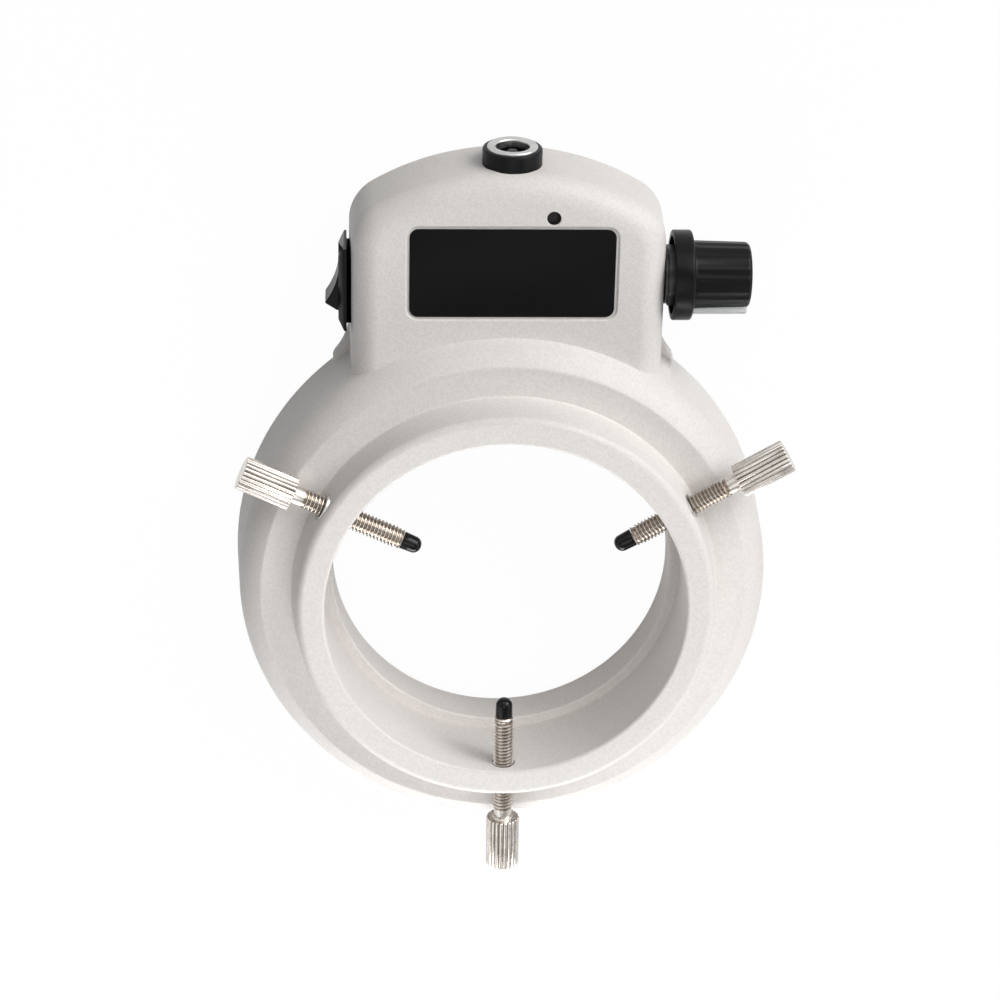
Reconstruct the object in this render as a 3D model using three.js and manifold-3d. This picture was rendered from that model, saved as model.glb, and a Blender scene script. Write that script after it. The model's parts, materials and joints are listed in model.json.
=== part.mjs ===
import * as THREE from "three";
import { mergeVertices } from "three/addons/utils/BufferGeometryUtils.js";
import Module from "manifold-3d";

// A ring light for a stereo microscope. Millimetres, +Z up, ring axis on Z, control box towards -Y.

const wasm = await Module();
wasm.setup();

// Facets around the circles
const ringSides = 72;
const innerRingSides = 48;
const roundSides = 24;
const smallSides = 12;
const lampSides = 6;
const screwSides = 16;

// Length that cuts run past the material
const overrun = 1.5;
// Gap between two pieces that are pushed together
const fit = 0.05;
// Gap around a piece that turns or slides
const runningGap = 0.15;

// Collar that goes around the microscope
const mouthRadius = 33.2;
const mouthDraft = 0.4;
const mouthFootRadius = mouthRadius + mouthDraft;
const mouthEdge = 0.3;
const ledgeWidth = 1.8;
const ledgeHeight = 10.95;
const boreRadius = mouthFootRadius - ledgeWidth;
const boreFootHeight = 2.5;
const collarThickness = 5.2;
const collarDraft = 0.9;
const collarTopRadius = mouthRadius + collarThickness;
const collarFootRadius = collarTopRadius + collarDraft;
const collarRise = 8.2;
const collarRound = 1.45;
const collarRoundSteps = 3;

// Ring bell around the collar
const shoulderWidth = 5.6;
const shoulderHeight = 21.3;
const collarHeight = shoulderHeight + collarRise;
const crestRadius = collarFootRadius + shoulderWidth;
const bellEdgeRadius = 9.0;
const bellSpread = 4.2;
const bellSteps = 5;
const ringWallTopRadius = crestRadius + bellSpread;
const ringDraft = 0.8;
const ringBaseRadius = ringWallTopRadius + ringDraft;

// Shell walls and the lamp chamber
const ringWall = 2.3;
const tubeWall = 1.8;
const roofThickness = 2.0;
const boxWall = 2.0;
const seatWidth = 1.8;
const seatHeight = 8.6;
const chamferWidth = 3.3;
const chamferHeight = 2.8;
const chamberRadius = ringBaseRadius - ringWall;
const seatRadius = chamberRadius - seatWidth;
const tubeRadius = mouthFootRadius + tubeWall;
const chamberRoof = shoulderHeight - roofThickness;

// Control box
const boxHalfWidth = 28.5;
const boxReach = 29.6;
const boxEnd = ringBaseRadius + boxReach;
const boxHeight = 16.5;
const boxEndRadius = 48.0;
const boxCornerRadius = 8.5;
const boxTopRound = 4.8;
const sideDraftShare = 0.0335;
const endDraftShare = 0.065;
const boxOverlap = 1.4;
const boxInner = mouthFootRadius + boxOverlap;
const cavityInner = seatRadius - seatWidth;
const boxCornerSteps = 5;
const boxEndSteps = 10;
const boxRoundSteps = 5;

// Low flare where the box side meets the ring
const flareHeight = 2.0;
const flareLength = 8.3;
const flareProud = 3.05;
const flareShares = [
  [0, 0],
  [0.14, 0.3],
  [0.57, 0.65],
  [0.93, 0.83],
  [1, 0.9],
  [0.97, 1],
];

// Base cover
const coverThickness = 2.0;
const coverFrameWidth = 2.2;

// Clear height in the box between cover and roof
const clearHeight = boxHeight - roofThickness - coverThickness;
const clearMiddle = coverThickness + clearHeight / 2;

// Lens ring and lamp board
const lensThickness = 1.5;
const boardThickness = 1.6;
const lampRadius = 2.3;
const lampHeight = 3.0;
const lampDomeShare = 0.45;
const lampHolderThickness = 0.6;
const lampHolderWidth = 10.4;
const lampRows = [
  { share: 0.27, count: 20 },
  { share: 0.73, count: 24 },
];
const bossRadius = 2.6;
const bossAnglesDeg = [30, 150, 270];

// Small screws
const smallScrewRadius = 1.1;
const smallScrewHeadRadius = 2.1;
const smallScrewHeadHeight = 1.2;
const smallScrewLength = 6.0;
const smallScrewRecess = 0.6;
const screwSlotWidth = 0.6;
const screwSlotDepth = 0.5;

// Label on the box
const labelX = -0.48;
const labelSetback = 18.7;
const labelY = labelSetback - boxEnd;
const labelLength = 36.65;
const labelWidth = 16.4;
const labelCorner = 1.6;
const labelThickness = 0.3;
const labelMargin = 0.55;
const recessDepth = 0.4;

// Indicator window
const indicatorX = -7.6;
const indicatorSetback = 8.4;
const indicatorY = indicatorSetback - boxEnd;
const indicatorRadius = 1.25;
const indicatorRecess = 0.2;
const indicatorFlange = 0.6;
const indicatorFlangeThickness = 0.5;
const indicatorLampShare = 0.368;
const indicatorLampLength = indicatorLampShare * clearHeight;
const indicatorLeadWidth = 0.5;
const indicatorLeadSpacing = 1.27;

// Driver board between the switch and the dimmer
const driverMargin = 15.5;
const driverHalfLength = boxHalfWidth - driverMargin;
const driverSetback = 14.3;
const driverBack = boxEnd - driverSetback;
const driverWidth = 14.7;
const driverFront = driverBack - driverWidth;
const driverTabInset = 1.0;
const driverTabStart = driverHalfLength - driverTabInset;
const driverTabEnd = 6.4;
const driverTabLength = 8.0;
const driverTabBack = driverBack + driverTabLength;
const driverHeight = 3.4;
const driverPostRadius = 1.9;
const driverPostInset = 2.4;
const driverPostX = driverHalfLength - driverPostInset;
const driverPostRise = 2.7;
const driverPostY = driverFront + driverPostRise;
const inductorRadius = 3.0;
const inductorHeight = 5.2;
const inductorWaistShare = 0.7;
const inductorFlangeShare = 0.2;
const inductorInset = 3.6;
const inductorX = driverHalfLength - inductorInset;
const inductorSetback = 3.1;
const inductorY = driverBack - inductorSetback;
const capacitorRadius = 2.5;
const capacitorHeadroom = 2.1;
const capacitorHeight = boxHeight - roofThickness - driverHeight - boardThickness - capacitorHeadroom;
const capacitorEdge = 0.3;
const capacitorInset = 3.2;
const capacitorX = capacitorInset - driverHalfLength;
const capacitorSetback = 3.2;
const capacitorY = driverBack - capacitorSetback;
const chipLength = 5.0;
const chipWidth = 4.0;
const chipHeight = 1.6;
const chipX = -0.9;
const chipSetback = 9.0;
const chipY = driverBack - chipSetback;

// Short screws that hold the driver board on its posts
const smallScrewShortLength = driverHeight + boardThickness - smallScrewRecess;

// Box screws
const boxScrewInset = 8.8;
const boxScrewX = boxHalfWidth - boxScrewInset;
const boxScrewSetback = 5.373;
const boxScrewSag = boxEndRadius - Math.sqrt(boxEndRadius ** 2 - boxScrewX ** 2);
const boxScrewY = boxEnd - boxScrewSag - boxScrewSetback;
const boxBossRadius = 2.8;

// Socket for the power plug
const jackX = -0.45;
const jackLift = 0.05;
const jackHeight = clearMiddle + jackLift;
const jackTiltDeg = 3.72;
const jackRingRadius = 5.35;
const jackRingDepth = 3.05;
const jackRingEdge = 0.5;
const jackMouthRadius = 4.55;
const jackMouthProud = 0.4;
const jackMouthEdge = 0.8;
const jackHoleRadius = 3.0;
const jackSleeveRadius = 3.9;
const jackThroatRadius = 3.1;
const jackBodyMargin = 1.15;
const jackBodyRadius = clearHeight / 2 - jackBodyMargin;
const jackBodyLength = 8.2;
const jackThroatDepth = 7.2;
const jackPinRadius = 1.0;
const jackPinSetback = 0.9;
const jackTerminalLength = 3.4;
const jackTerminalWidth = 1.8;
const jackTerminalThickness = 0.5;
const jackTerminalSpacing = 2.4;
const jackTerminalBite = 1.2;

// Rocker switch
const rockerSetback = 23.6;
const rockerY = rockerSetback - boxEnd;
const rockerZ = 6.35;
const bezelLength = 15.55;
const bezelHeight = 10.9;
const bezelStandoff = 0.45;
const bezelThickness = 1.5;
const bezelBevelLength = 1.9;
const bezelBevelHeight = 1.3;
const bezelBevelDepth = 1.05;
const switchBodyLength = 13.15;
const switchBodyHeight = 8.5;
const switchBodyDepth = 11.5;
const switchWellLength = 11.9;
const switchWellHeight = 7.5;
const switchWellDepth = 8.4;
const paddleHeight = 7.0;
const paddlePivotDepth = 3.0;
const paddleTipReach = 4.52;
const paddleTipHeight = 4.38;
const paddleDip = 0.82;
const paddleHeelReach = 5.3;
const paddleHeelHeight = 1.7;
const paddleKeelReach = 2.2;
const paddleKeelDepth = 2.4;
const paddleTiltDeg = 16.5;
const paddleSteps = 6;
const trunnionRadius = 0.8;
const trunnionLength = 0.4;
const switchTerminalLength = 4.0;
const switchTerminalWidth = 4.0;
const switchTerminalThickness = 0.8;
const switchTerminalSpacing = 7.0;
const switchTerminalBite = 1.5;

// Dimmer
const dimmerSetback = 21.6;
const dimmerY = dimmerSetback - boxEnd;
const dimmerLift = 0.35;
const dimmerZ = clearMiddle + dimmerLift;
const knobGap = 1.55;
const knobFlangeRadius = 8.17;
const knobFlangeDepth = 3.5;
const knobFlangeEdge = 0.5;
const knobGripRadius = 6.25;
const knobGripTopRadius = 6.0;
const knobGripLength = 10.55;
const knobGripRound = 1.0;
const knobFluteDepth = 0.16;
const knobFlutes = 18;
const knobHollowRadius = 7.1;
const knobHollowDepth = 2.4;
const knobBoreDepth = 9.2;
const knobNotchWidth = 0.6;
const knobNotchDepth = 0.9;
const knobNotchAngleDeg = 245;
const pointerAngleDeg = 28;
const pointerWidth = 1.7;
const pointerProud = 0.77;
const pointerBite = 0.9;
const pointerStart = 0.1;
const pointerEndShort = 0.5;
const shaftRadius = 3.0;
const shaftFlat = 2.2;
const bushingRadius = 3.6;
const bushingLength = 3.6;
const washerRadius = 5.2;
const washerThickness = 0.5;
const nutAcrossFlats = 9.8;
const nutThickness = 2.0;
const potMargin = 1.45;
const potRadius = clearHeight / 2 - potMargin;
const potLength = 7.6;
const potStandoff = 0.8;
const potShaftBite = 2.0;
const tabRadius = 6.1;
const tabAngleDeg = 160;
const tabWidth = 1.2;
const tabThickness = 0.9;
const tabProud = 1.5;
const potTerminalLength = 3.4;
const potTerminalWidth = 7.0;
const potTerminalThickness = 0.8;
const potTerminalBite = 0.8;

// Thumb screws
const screwDepth = 3.9;
const screwHeight = collarHeight - screwDepth;
const screwTurnDeg = 0.5;
const screwNoseLength = 2.3;
const screwNoseRadius = 1.2;
const capLength = 3.7;
const capRadius = 1.65;
const capDome = 1.3;
const threadLength = 19.6;
const threadRadius = 1.95;
const neckLength = 2.1;
const neckRadius = 1.7;
const headLength = 10.2;
const headRadius = 3.1;
const headFluteDepth = 0.3;
const headFlutes = 22;
const headEdge = 0.15;
const headDome = 0.3;
const insertRadius = 2.55;
const insertLength = 5.2;
const insertProud = 0.05;
const screwReach1 = 13.6;
const screwReach2 = 10.2;
const screwReach3 = 13.707;
const thumbScrews = [
  { node: 1, angleDeg: 90, tipAngleDeg: 90, tipRadius: mouthRadius - screwReach1 },
  { node: 2, angleDeg: 210, tipAngleDeg: 210, tipRadius: mouthRadius - screwReach2 },
  { node: 3, angleDeg: -25.3, tipAngleDeg: -36.946, tipRadius: mouthRadius - screwReach3 },
];

// Leads inside the box
const leadRadius = 0.55;
const leadSides = 6;
const leadSteps = 10;
const leadRise = 1.6;
const leadBend = 1.5;
const jackLeadX = (inductorX - inductorRadius + capacitorX + capacitorRadius) / 2;
const screwHeadEdgeY = driverPostY + smallScrewHeadRadius;
const dimmerLeadY = -(screwHeadEdgeY + capacitorY - capacitorRadius) / 2;
const lampLeadInset = 7.6;
const lampLeadX = lampLeadInset - driverHalfLength;
const lampLeadSpread = 4.8;
const lampLeadSetback = 2.2;
const lampLeadStart = 4.5;
const lampLeadRun = 2.1;

const degree = Math.PI / 180;

// Materials
function whitePlastic() {
  return new THREE.MeshStandardMaterial({ color: 0xdedcd8, roughness: 0.5, metalness: 0 });
}

function blackPlastic() {
  return new THREE.MeshStandardMaterial({ color: 0x161617, roughness: 0.42, metalness: 0 });
}

function blackLabel() {
  return new THREE.MeshStandardMaterial({ color: 0x0c0c0d, roughness: 0.45, metalness: 0 });
}

function blackRubber() {
  return new THREE.MeshStandardMaterial({ color: 0x0d0d0e, roughness: 0.35, metalness: 0 });
}

function greyPlastic() {
  return new THREE.MeshStandardMaterial({ color: 0xb9bbbd, roughness: 0.5, metalness: 0 });
}

function clearPlastic() {
  return new THREE.MeshStandardMaterial({ color: 0xe9eef0, roughness: 0.12, metalness: 0 });
}

function darkWindow() {
  return new THREE.MeshStandardMaterial({ color: 0x14100e, roughness: 0.2, metalness: 0 });
}

function platedSteel() {
  return new THREE.MeshStandardMaterial({ color: 0xc4c6c8, roughness: 0.28, metalness: 1 });
}

function plainSteel() {
  return new THREE.MeshStandardMaterial({ color: 0x9ea1a4, roughness: 0.4, metalness: 1 });
}

function yellowMetal() {
  return new THREE.MeshStandardMaterial({ color: 0xc9a75a, roughness: 0.35, metalness: 1 });
}

function greenBoard() {
  return new THREE.MeshStandardMaterial({ color: 0x1f5b36, roughness: 0.55, metalness: 0 });
}

function whiteBoard() {
  return new THREE.MeshStandardMaterial({ color: 0xe6e6e2, roughness: 0.55, metalness: 0 });
}

function darkPart() {
  return new THREE.MeshStandardMaterial({ color: 0x23242a, roughness: 0.5, metalness: 0 });
}

function redInsulation() {
  return new THREE.MeshStandardMaterial({ color: 0x9c2420, roughness: 0.5, metalness: 0 });
}

function blackInsulation() {
  return new THREE.MeshStandardMaterial({ color: 0x1b1b1c, roughness: 0.5, metalness: 0 });
}

// Signed volume of a triangle list
function signedVolume(points, triangles) {
  let sum = 0;
  const a = new THREE.Vector3();
  const b = new THREE.Vector3();
  const c = new THREE.Vector3();
  for (let i = 0; i < triangles.length; i += 3) {
    a.fromArray(points, 3 * triangles[i]);
    b.fromArray(points, 3 * triangles[i + 1]);
    c.fromArray(points, 3 * triangles[i + 2]);
    sum += a.dot(b.cross(c));
  }
  return sum;
}

// Closed solid from a geometry, placed by a frame
function solid(geometry, frame = new THREE.Matrix4()) {
  const placed = geometry.clone().applyMatrix4(frame);
  placed.deleteAttribute("normal");
  placed.deleteAttribute("uv");
  const merged = mergeVertices(placed);
  const points = merged.attributes.position.array;
  const index = merged.index.array;
  const triangles = [];
  for (let i = 0; i < index.length; i += 3) {
    const corners = [index[i], index[i + 1], index[i + 2]];
    if (new Set(corners).size === corners.length) {
      triangles.push(...corners);
    }
  }
  if (signedVolume(points, triangles) < 0) {
    triangles.reverse();
  }
  const mesh = new wasm.Mesh({
    numProp: 3,
    vertProperties: Float32Array.from(points),
    triVerts: Uint32Array.from(triangles),
  });
  return new wasm.Manifold(mesh);
}

// Join several solids
function join(first, ...others) {
  let result = first;
  for (const other of others) {
    result = result.add(other);
  }
  return result;
}

// Cut several solids out of one
function cut(first, ...others) {
  let result = first;
  for (const other of others) {
    result = result.subtract(other);
  }
  return result;
}

// Named mesh from a solid
function piece(name, shape, material) {
  const mesh = shape.getMesh();
  const geometry = new THREE.BufferGeometry();
  geometry.setAttribute("position", new THREE.Float32BufferAttribute(mesh.vertProperties, 3));
  geometry.setIndex(new THREE.Uint32BufferAttribute(mesh.triVerts, 1));
  geometry.computeVertexNormals();
  const result = new THREE.Mesh(geometry, material);
  result.name = name;
  return result;
}

// Body of revolution about Z from a list of [radius, height]
function turned(profile, sides) {
  const outline = profile.map(([radius, height]) => new THREE.Vector2(radius, height));
  return new THREE.LatheGeometry(outline, sides).rotateX(Math.PI / 2);
}

// Ring of revolution whose profile closes on itself
function turnedRing(profile, sides) {
  return turned([...profile, profile[0]], sides);
}

// Washer shape about Z
function ringBetween(inner, outer, low, high, sides) {
  const profile = [
    [inner, low],
    [outer, low],
    [outer, high],
    [inner, high],
  ];
  return turnedRing(profile, sides);
}

// Rod about Z between two heights
function rod(radius, low, high, sides) {
  return turned([[0, low], [radius, low], [radius, high], [0, high]], sides);
}

// Rod about Z with its far end rounded off
function domedRod(radius, low, high, dome, sides) {
  const profile = [[0, low], [radius, low]];
  const steps = 3;
  for (let i = 0; i <= steps; i += 1) {
    const turn = (i / steps) * (Math.PI / 2);
    const across = radius - dome + dome * Math.cos(turn);
    profile.push([across, high - dome + dome * Math.sin(turn)]);
  }
  profile.push([0, high]);
  return turned(profile, sides);
}

// Upright prism over a closed outline
function prism(outline, low, high) {
  const shape = new THREE.Shape(outline.map(([x, y]) => new THREE.Vector2(x, y)));
  const geometry = new THREE.ExtrudeGeometry(shape, { depth: high - low, bevelEnabled: false });
  return geometry.translate(0, 0, low);
}

// Upright block
function block(x0, x1, y0, y1, z0, z1) {
  return prism([[x0, y0], [x1, y0], [x1, y1], [x0, y1]], z0, z1);
}

// Block around its own centre line
function barAt(x, y, width, depth, low, high) {
  return block(x - width / 2, x + width / 2, y - depth / 2, y + depth / 2, low, high);
}

// Skin over a stack of outlines with equally many points
function stacked(outlines) {
  const count = outlines[0].length;
  const points = outlines.flat(2);
  const triangles = [];
  for (let level = 0; level < outlines.length - 1; level += 1) {
    for (let i = 0; i < count; i += 1) {
      const a = level * count + i;
      const b = level * count + ((i + 1) % count);
      triangles.push(a, b, b + count, a, b + count, a + count);
    }
  }
  const flat = outlines[0].map(([x, y]) => new THREE.Vector2(x, y));
  const last = (outlines.length - 1) * count;
  for (const [a, b, c] of THREE.ShapeUtils.triangulateShape(flat, [])) {
    triangles.push(c, b, a, last + a, last + b, last + c);
  }
  const geometry = new THREE.BufferGeometry();
  geometry.setAttribute("position", new THREE.Float32BufferAttribute(points, 3));
  geometry.setIndex(triangles);
  return geometry;
}

// Frame at a point with its Z along a direction and its Y as near up as it goes
function aimed(origin, direction) {
  const along = direction.clone().normalize();
  const up = new THREE.Vector3(0, 0, 1);
  const side = new THREE.Vector3().crossVectors(up, along).normalize();
  const top = new THREE.Vector3().crossVectors(along, side);
  return new THREE.Matrix4().makeBasis(side, top, along).setPosition(origin);
}

// Outline with rounded corners around a centre
function roundedRectangle(x, y, length, width, corner, steps) {
  const outline = [];
  const cornersX = [1, -1, -1, 1];
  const cornersY = [1, 1, -1, -1];
  for (let k = 0; k < cornersX.length; k += 1) {
    const cx = x + cornersX[k] * (length / 2 - corner);
    const cy = y + cornersY[k] * (width / 2 - corner);
    for (let i = 0; i <= steps; i += 1) {
      const turn = (k + i / steps) * (Math.PI / 2);
      outline.push([cx + corner * Math.cos(turn), cy + corner * Math.sin(turn)]);
    }
  }
  return outline;
}

// Centre of the arc at the edge of the bell
function bellCentre() {
  const radius = ringWallTopRadius - bellEdgeRadius;
  const turn = Math.acos((crestRadius - radius) / bellEdgeRadius);
  return { radius, height: shoulderHeight - bellEdgeRadius * Math.sin(turn), turn };
}

// Radius of the collar's outside at a height
function collarRadiusAt(height) {
  const share = (height - shoulderHeight) / (collarHeight - collarRound - shoulderHeight);
  return collarFootRadius + share * (collarTopRadius - collarFootRadius);
}

// Outside of ring and collar
function ringOutside() {
  const centre = bellCentre();
  const profile = [[0, 0], [ringBaseRadius, 0]];
  for (let i = 0; i <= bellSteps; i += 1) {
    const turn = (i / bellSteps) * centre.turn;
    const across = centre.radius + bellEdgeRadius * Math.cos(turn);
    profile.push([across, centre.height + bellEdgeRadius * Math.sin(turn)]);
  }
  profile.push([collarFootRadius, shoulderHeight]);
  for (let i = 0; i <= collarRoundSteps; i += 1) {
    const turn = (i / collarRoundSteps) * (Math.PI / 2);
    const across = collarTopRadius - collarRound + collarRound * Math.cos(turn);
    profile.push([across, collarHeight - collarRound + collarRound * Math.sin(turn)]);
  }
  profile.push([0, collarHeight]);
  return solid(turned(profile, ringSides));
}

// Bore and mouth that run through the ring
function ringBore() {
  const profile = [
    [0, -overrun],
    [tubeRadius + overrun, -overrun],
    [tubeRadius + overrun, boreFootHeight],
    [boreRadius, boreFootHeight],
    [boreRadius, ledgeHeight],
    [mouthFootRadius, ledgeHeight],
    [mouthRadius, collarHeight - mouthEdge],
    [mouthRadius + mouthEdge, collarHeight],
    [mouthRadius + mouthEdge, collarHeight + overrun],
    [0, collarHeight + overrun],
  ];
  return solid(turned(profile, ringSides));
}

// Lamp chamber inside the ring, open below
function lampChamber() {
  const profile = [
    [tubeRadius, -overrun],
    [chamberRadius, -overrun],
    [chamberRadius, seatHeight],
    [seatRadius, seatHeight],
    [seatRadius, chamberRoof - chamferHeight],
    [seatRadius - chamferWidth, chamberRoof],
    [tubeRadius, chamberRoof],
  ];
  return solid(turnedRing(profile, ringSides));
}

// Outline of the control box at one height, drawn in by an inset
function boxOutline(height, inset, inner) {
  const half = boxHalfWidth - sideDraftShare * height - inset;
  const end = boxEnd - endDraftShare * height - inset;
  const endRadius = boxEndRadius - inset;
  const corner = boxCornerRadius - sideDraftShare * height - inset;
  const arcY = endRadius - end;
  const cornerX = half - corner;
  const cornerY = arcY - Math.sqrt((endRadius - corner) ** 2 - cornerX ** 2);
  const sweep = Math.asin(cornerX / (endRadius - corner));
  const points = [[-half, -inner, height]];
  for (let i = 0; i <= boxCornerSteps; i += 1) {
    const turn = Math.PI + (i / boxCornerSteps) * (Math.PI / 2 - sweep);
    points.push([-cornerX + corner * Math.cos(turn), cornerY + corner * Math.sin(turn), height]);
  }
  for (let i = 1; i < boxEndSteps; i += 1) {
    const turn = -Math.PI / 2 - sweep + (2 * sweep * i) / boxEndSteps;
    points.push([endRadius * Math.cos(turn), arcY + endRadius * Math.sin(turn), height]);
  }
  for (let i = 0; i <= boxCornerSteps; i += 1) {
    const turn = -Math.PI / 2 + sweep + (i / boxCornerSteps) * (Math.PI / 2 - sweep);
    points.push([cornerX + corner * Math.cos(turn), cornerY + corner * Math.sin(turn), height]);
  }
  points.push([half, -inner, height]);
  return points;
}

// Block of the control box with its top edge rounded
function boxBlock(low, top, inset, round, inner) {
  const outlines = [];
  const start = boxOutline(0, inset, inner);
  if (low < 0) {
    outlines.push(start.map(([x, y]) => [x, y, low]));
  }
  outlines.push(start);
  for (let i = 0; i <= boxRoundSteps; i += 1) {
    const turn = (i / boxRoundSteps) * (Math.PI / 2);
    const height = top - round;
    const ring = boxOutline(height, inset + round * (1 - Math.cos(turn)), inner);
    outlines.push(ring.map(([x, y]) => [x, y, height + round * Math.sin(turn)]));
  }
  return solid(stacked(outlines));
}

// Half width of the box side at a height
function boxSideAt(height) {
  return boxHalfWidth - sideDraftShare * height;
}

// Low flare on one side of the box
function flare(side) {
  const foot = Math.sqrt(ringBaseRadius ** 2 - (boxHalfWidth + flareProud) ** 2);
  const outline = flareShares.map(([out, along]) => [
    side * (boxHalfWidth + out * flareProud),
    -foot - flareLength * (1 - along),
  ]);
  outline.push([side * (boxHalfWidth - boxWall), -foot]);
  outline.push([side * (boxHalfWidth - boxWall), -foot - flareLength]);
  return solid(prism(outline, 0, flareHeight));
}

// Frame of the power socket, Z pointing out of the box
function jackFrame() {
  const tilt = jackTiltDeg * degree;
  const direction = new THREE.Vector3(0, -Math.cos(tilt), Math.sin(tilt));
  const sag = boxEndRadius - Math.sqrt(boxEndRadius ** 2 - jackRingRadius ** 2);
  const face = boxEnd - endDraftShare * jackHeight - sag;
  return aimed(new THREE.Vector3(jackX, -face, jackHeight), direction);
}

// Frame of the dimmer, Z pointing out of the box
function dimmerFrame() {
  const face = boxSideAt(dimmerZ);
  return aimed(new THREE.Vector3(-face, dimmerY, dimmerZ), new THREE.Vector3(-1, 0, 0));
}

// Frames of the thumb screws, Z pointing from tip to head
function screwFrames() {
  return thumbScrews.map(({ node, angleDeg, tipAngleDeg, tipRadius }) => {
    const angle = (angleDeg + screwTurnDeg) * degree;
    const tipAngle = (tipAngleDeg + screwTurnDeg) * degree;
    const direction = new THREE.Vector3(Math.cos(angle), Math.sin(angle), 0);
    const tip = new THREE.Vector3(tipRadius * Math.cos(tipAngle), tipRadius * Math.sin(tipAngle), screwHeight);
    return { node, tip, direction, frame: aimed(tip, direction) };
  });
}

// Distance along a screw at which it leaves the collar
function collarExit({ tip, direction }) {
  const reach = tip.x * direction.x + tip.y * direction.y;
  const rest = tip.x ** 2 + tip.y ** 2 - collarRadiusAt(screwHeight) ** 2;
  return -reach + Math.sqrt(reach ** 2 - rest);
}

// Places around the ring where the lamp board is screwed on
function bossPlaces() {
  const radius = (tubeRadius + seatRadius) / 2;
  return bossAnglesDeg.map((angleDeg) => {
    const angle = angleDeg * degree;
    return [radius * Math.cos(angle), radius * Math.sin(angle)];
  });
}

const boxScrewPlaces = [
  [boxScrewX, -boxScrewY],
  [-boxScrewX, -boxScrewY],
];

const driverScrewPlaces = [
  [driverPostX, -driverPostY],
  [-driverPostX, -driverPostY],
];

// Upright frame at a place
function upright(x, y, z = 0) {
  return new THREE.Matrix4().makeTranslation(x, y, z);
}

// White shell of ring, collar and box
function upperHousing() {
  const outer = join(ringOutside(), boxBlock(0, boxHeight, 0, boxTopRound, boxInner), flare(1), flare(-1));
  const cavityTop = boxHeight - roofThickness;
  const cavity = boxBlock(-overrun, cavityTop, boxWall, boxTopRound - boxWall, cavityInner);
  let shell = cut(outer, ringBore(), lampChamber(), cavity);
  for (const [x, y] of bossPlaces()) {
    shell = shell.add(solid(rod(bossRadius, seatHeight, chamberRoof + fit, smallSides), upright(x, y)));
  }
  for (const [x, y] of boxScrewPlaces) {
    shell = shell.add(solid(rod(boxBossRadius, coverThickness, cavityTop + fit, smallSides), upright(x, y)));
  }
  shell = cut(shell, ...screwPilotHoles(), labelRecess(), indicatorHole());
  shell = cut(shell, ...jackOpenings(), switchOpening(), ...dimmerOpenings());
  for (const screw of screwFrames()) {
    shell = shell.subtract(insertHole(screw));
  }
  return piece("upper_housing", shell, whitePlastic());
}

// Holes in the bosses for the small screws
function screwPilotHoles() {
  const radius = smallScrewRadius + fit;
  const boardTop = seatHeight;
  const boardScrewTop = boardTop - boardThickness + smallScrewLength;
  const holes = bossPlaces().map(([x, y]) =>
    solid(rod(radius, boardTop - overrun, boardScrewTop + overrun, smallSides), upright(x, y)),
  );
  const coverScrewTop = smallScrewRecess + smallScrewHeadHeight + smallScrewLength;
  for (const [x, y] of boxScrewPlaces) {
    holes.push(solid(rod(radius, 0, coverScrewTop + overrun, smallSides), upright(x, y)));
  }
  return holes;
}

// Shallow recess for the label
function labelRecess() {
  const length = labelLength + 2 * labelMargin;
  const width = labelWidth + 2 * labelMargin;
  const outline = roundedRectangle(labelX, labelY, length, width, labelCorner + labelMargin, 4);
  return solid(prism(outline, boxHeight - recessDepth, boxHeight + overrun));
}

// Hole for the indicator window
function indicatorHole() {
  const radius = indicatorRadius + fit;
  const low = boxHeight - roofThickness - overrun;
  return solid(rod(radius, low, boxHeight + overrun, roundSides), upright(indicatorX, indicatorY));
}

// Seat and hole for the power socket
function jackOpenings() {
  const seat = solid(rod(jackRingRadius + runningGap, 0, jackRingDepth, roundSides), jackFrame());
  const depth = boxWall + overrun;
  const hole = solid(rod(jackMouthRadius + fit, -depth, overrun, roundSides), jackFrame());
  return [seat, hole];
}

// Hole for the switch body
function switchOpening() {
  const halfLength = switchBodyLength / 2 + fit;
  const halfHeight = switchBodyHeight / 2 + fit;
  const side = boxSideAt(0);
  return solid(
    block(
      side - boxWall - overrun,
      side + overrun,
      rockerY - halfLength,
      rockerY + halfLength,
      rockerZ - halfHeight,
      rockerZ + halfHeight,
    ),
  );
}

// Spot face, bushing hole and tab hole for the dimmer
function dimmerOpenings() {
  const depth = boxWall + overrun;
  const frame = dimmerFrame();
  const spotFace = solid(rod(washerRadius + runningGap, -fit, overrun, roundSides), frame);
  const hole = solid(rod(bushingRadius + fit, -depth, overrun, roundSides), frame);
  const [x, y] = tabPlace();
  const width = tabWidth + 2 * fit;
  const slot = solid(barAt(x, y, width, width, -depth, overrun), frame);
  return [spotFace, hole, slot];
}

// Place of the locating tab around the dimmer's axis
function tabPlace() {
  const angle = tabAngleDeg * degree;
  return [tabRadius * Math.cos(angle), tabRadius * Math.sin(angle)];
}

// Hole in the collar for a threaded insert
function insertHole(screw) {
  const exit = collarExit(screw);
  const low = exit - insertLength - overrun;
  return solid(rod(insertRadius + fit, low, exit + overrun, roundSides), screw.frame);
}

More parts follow.
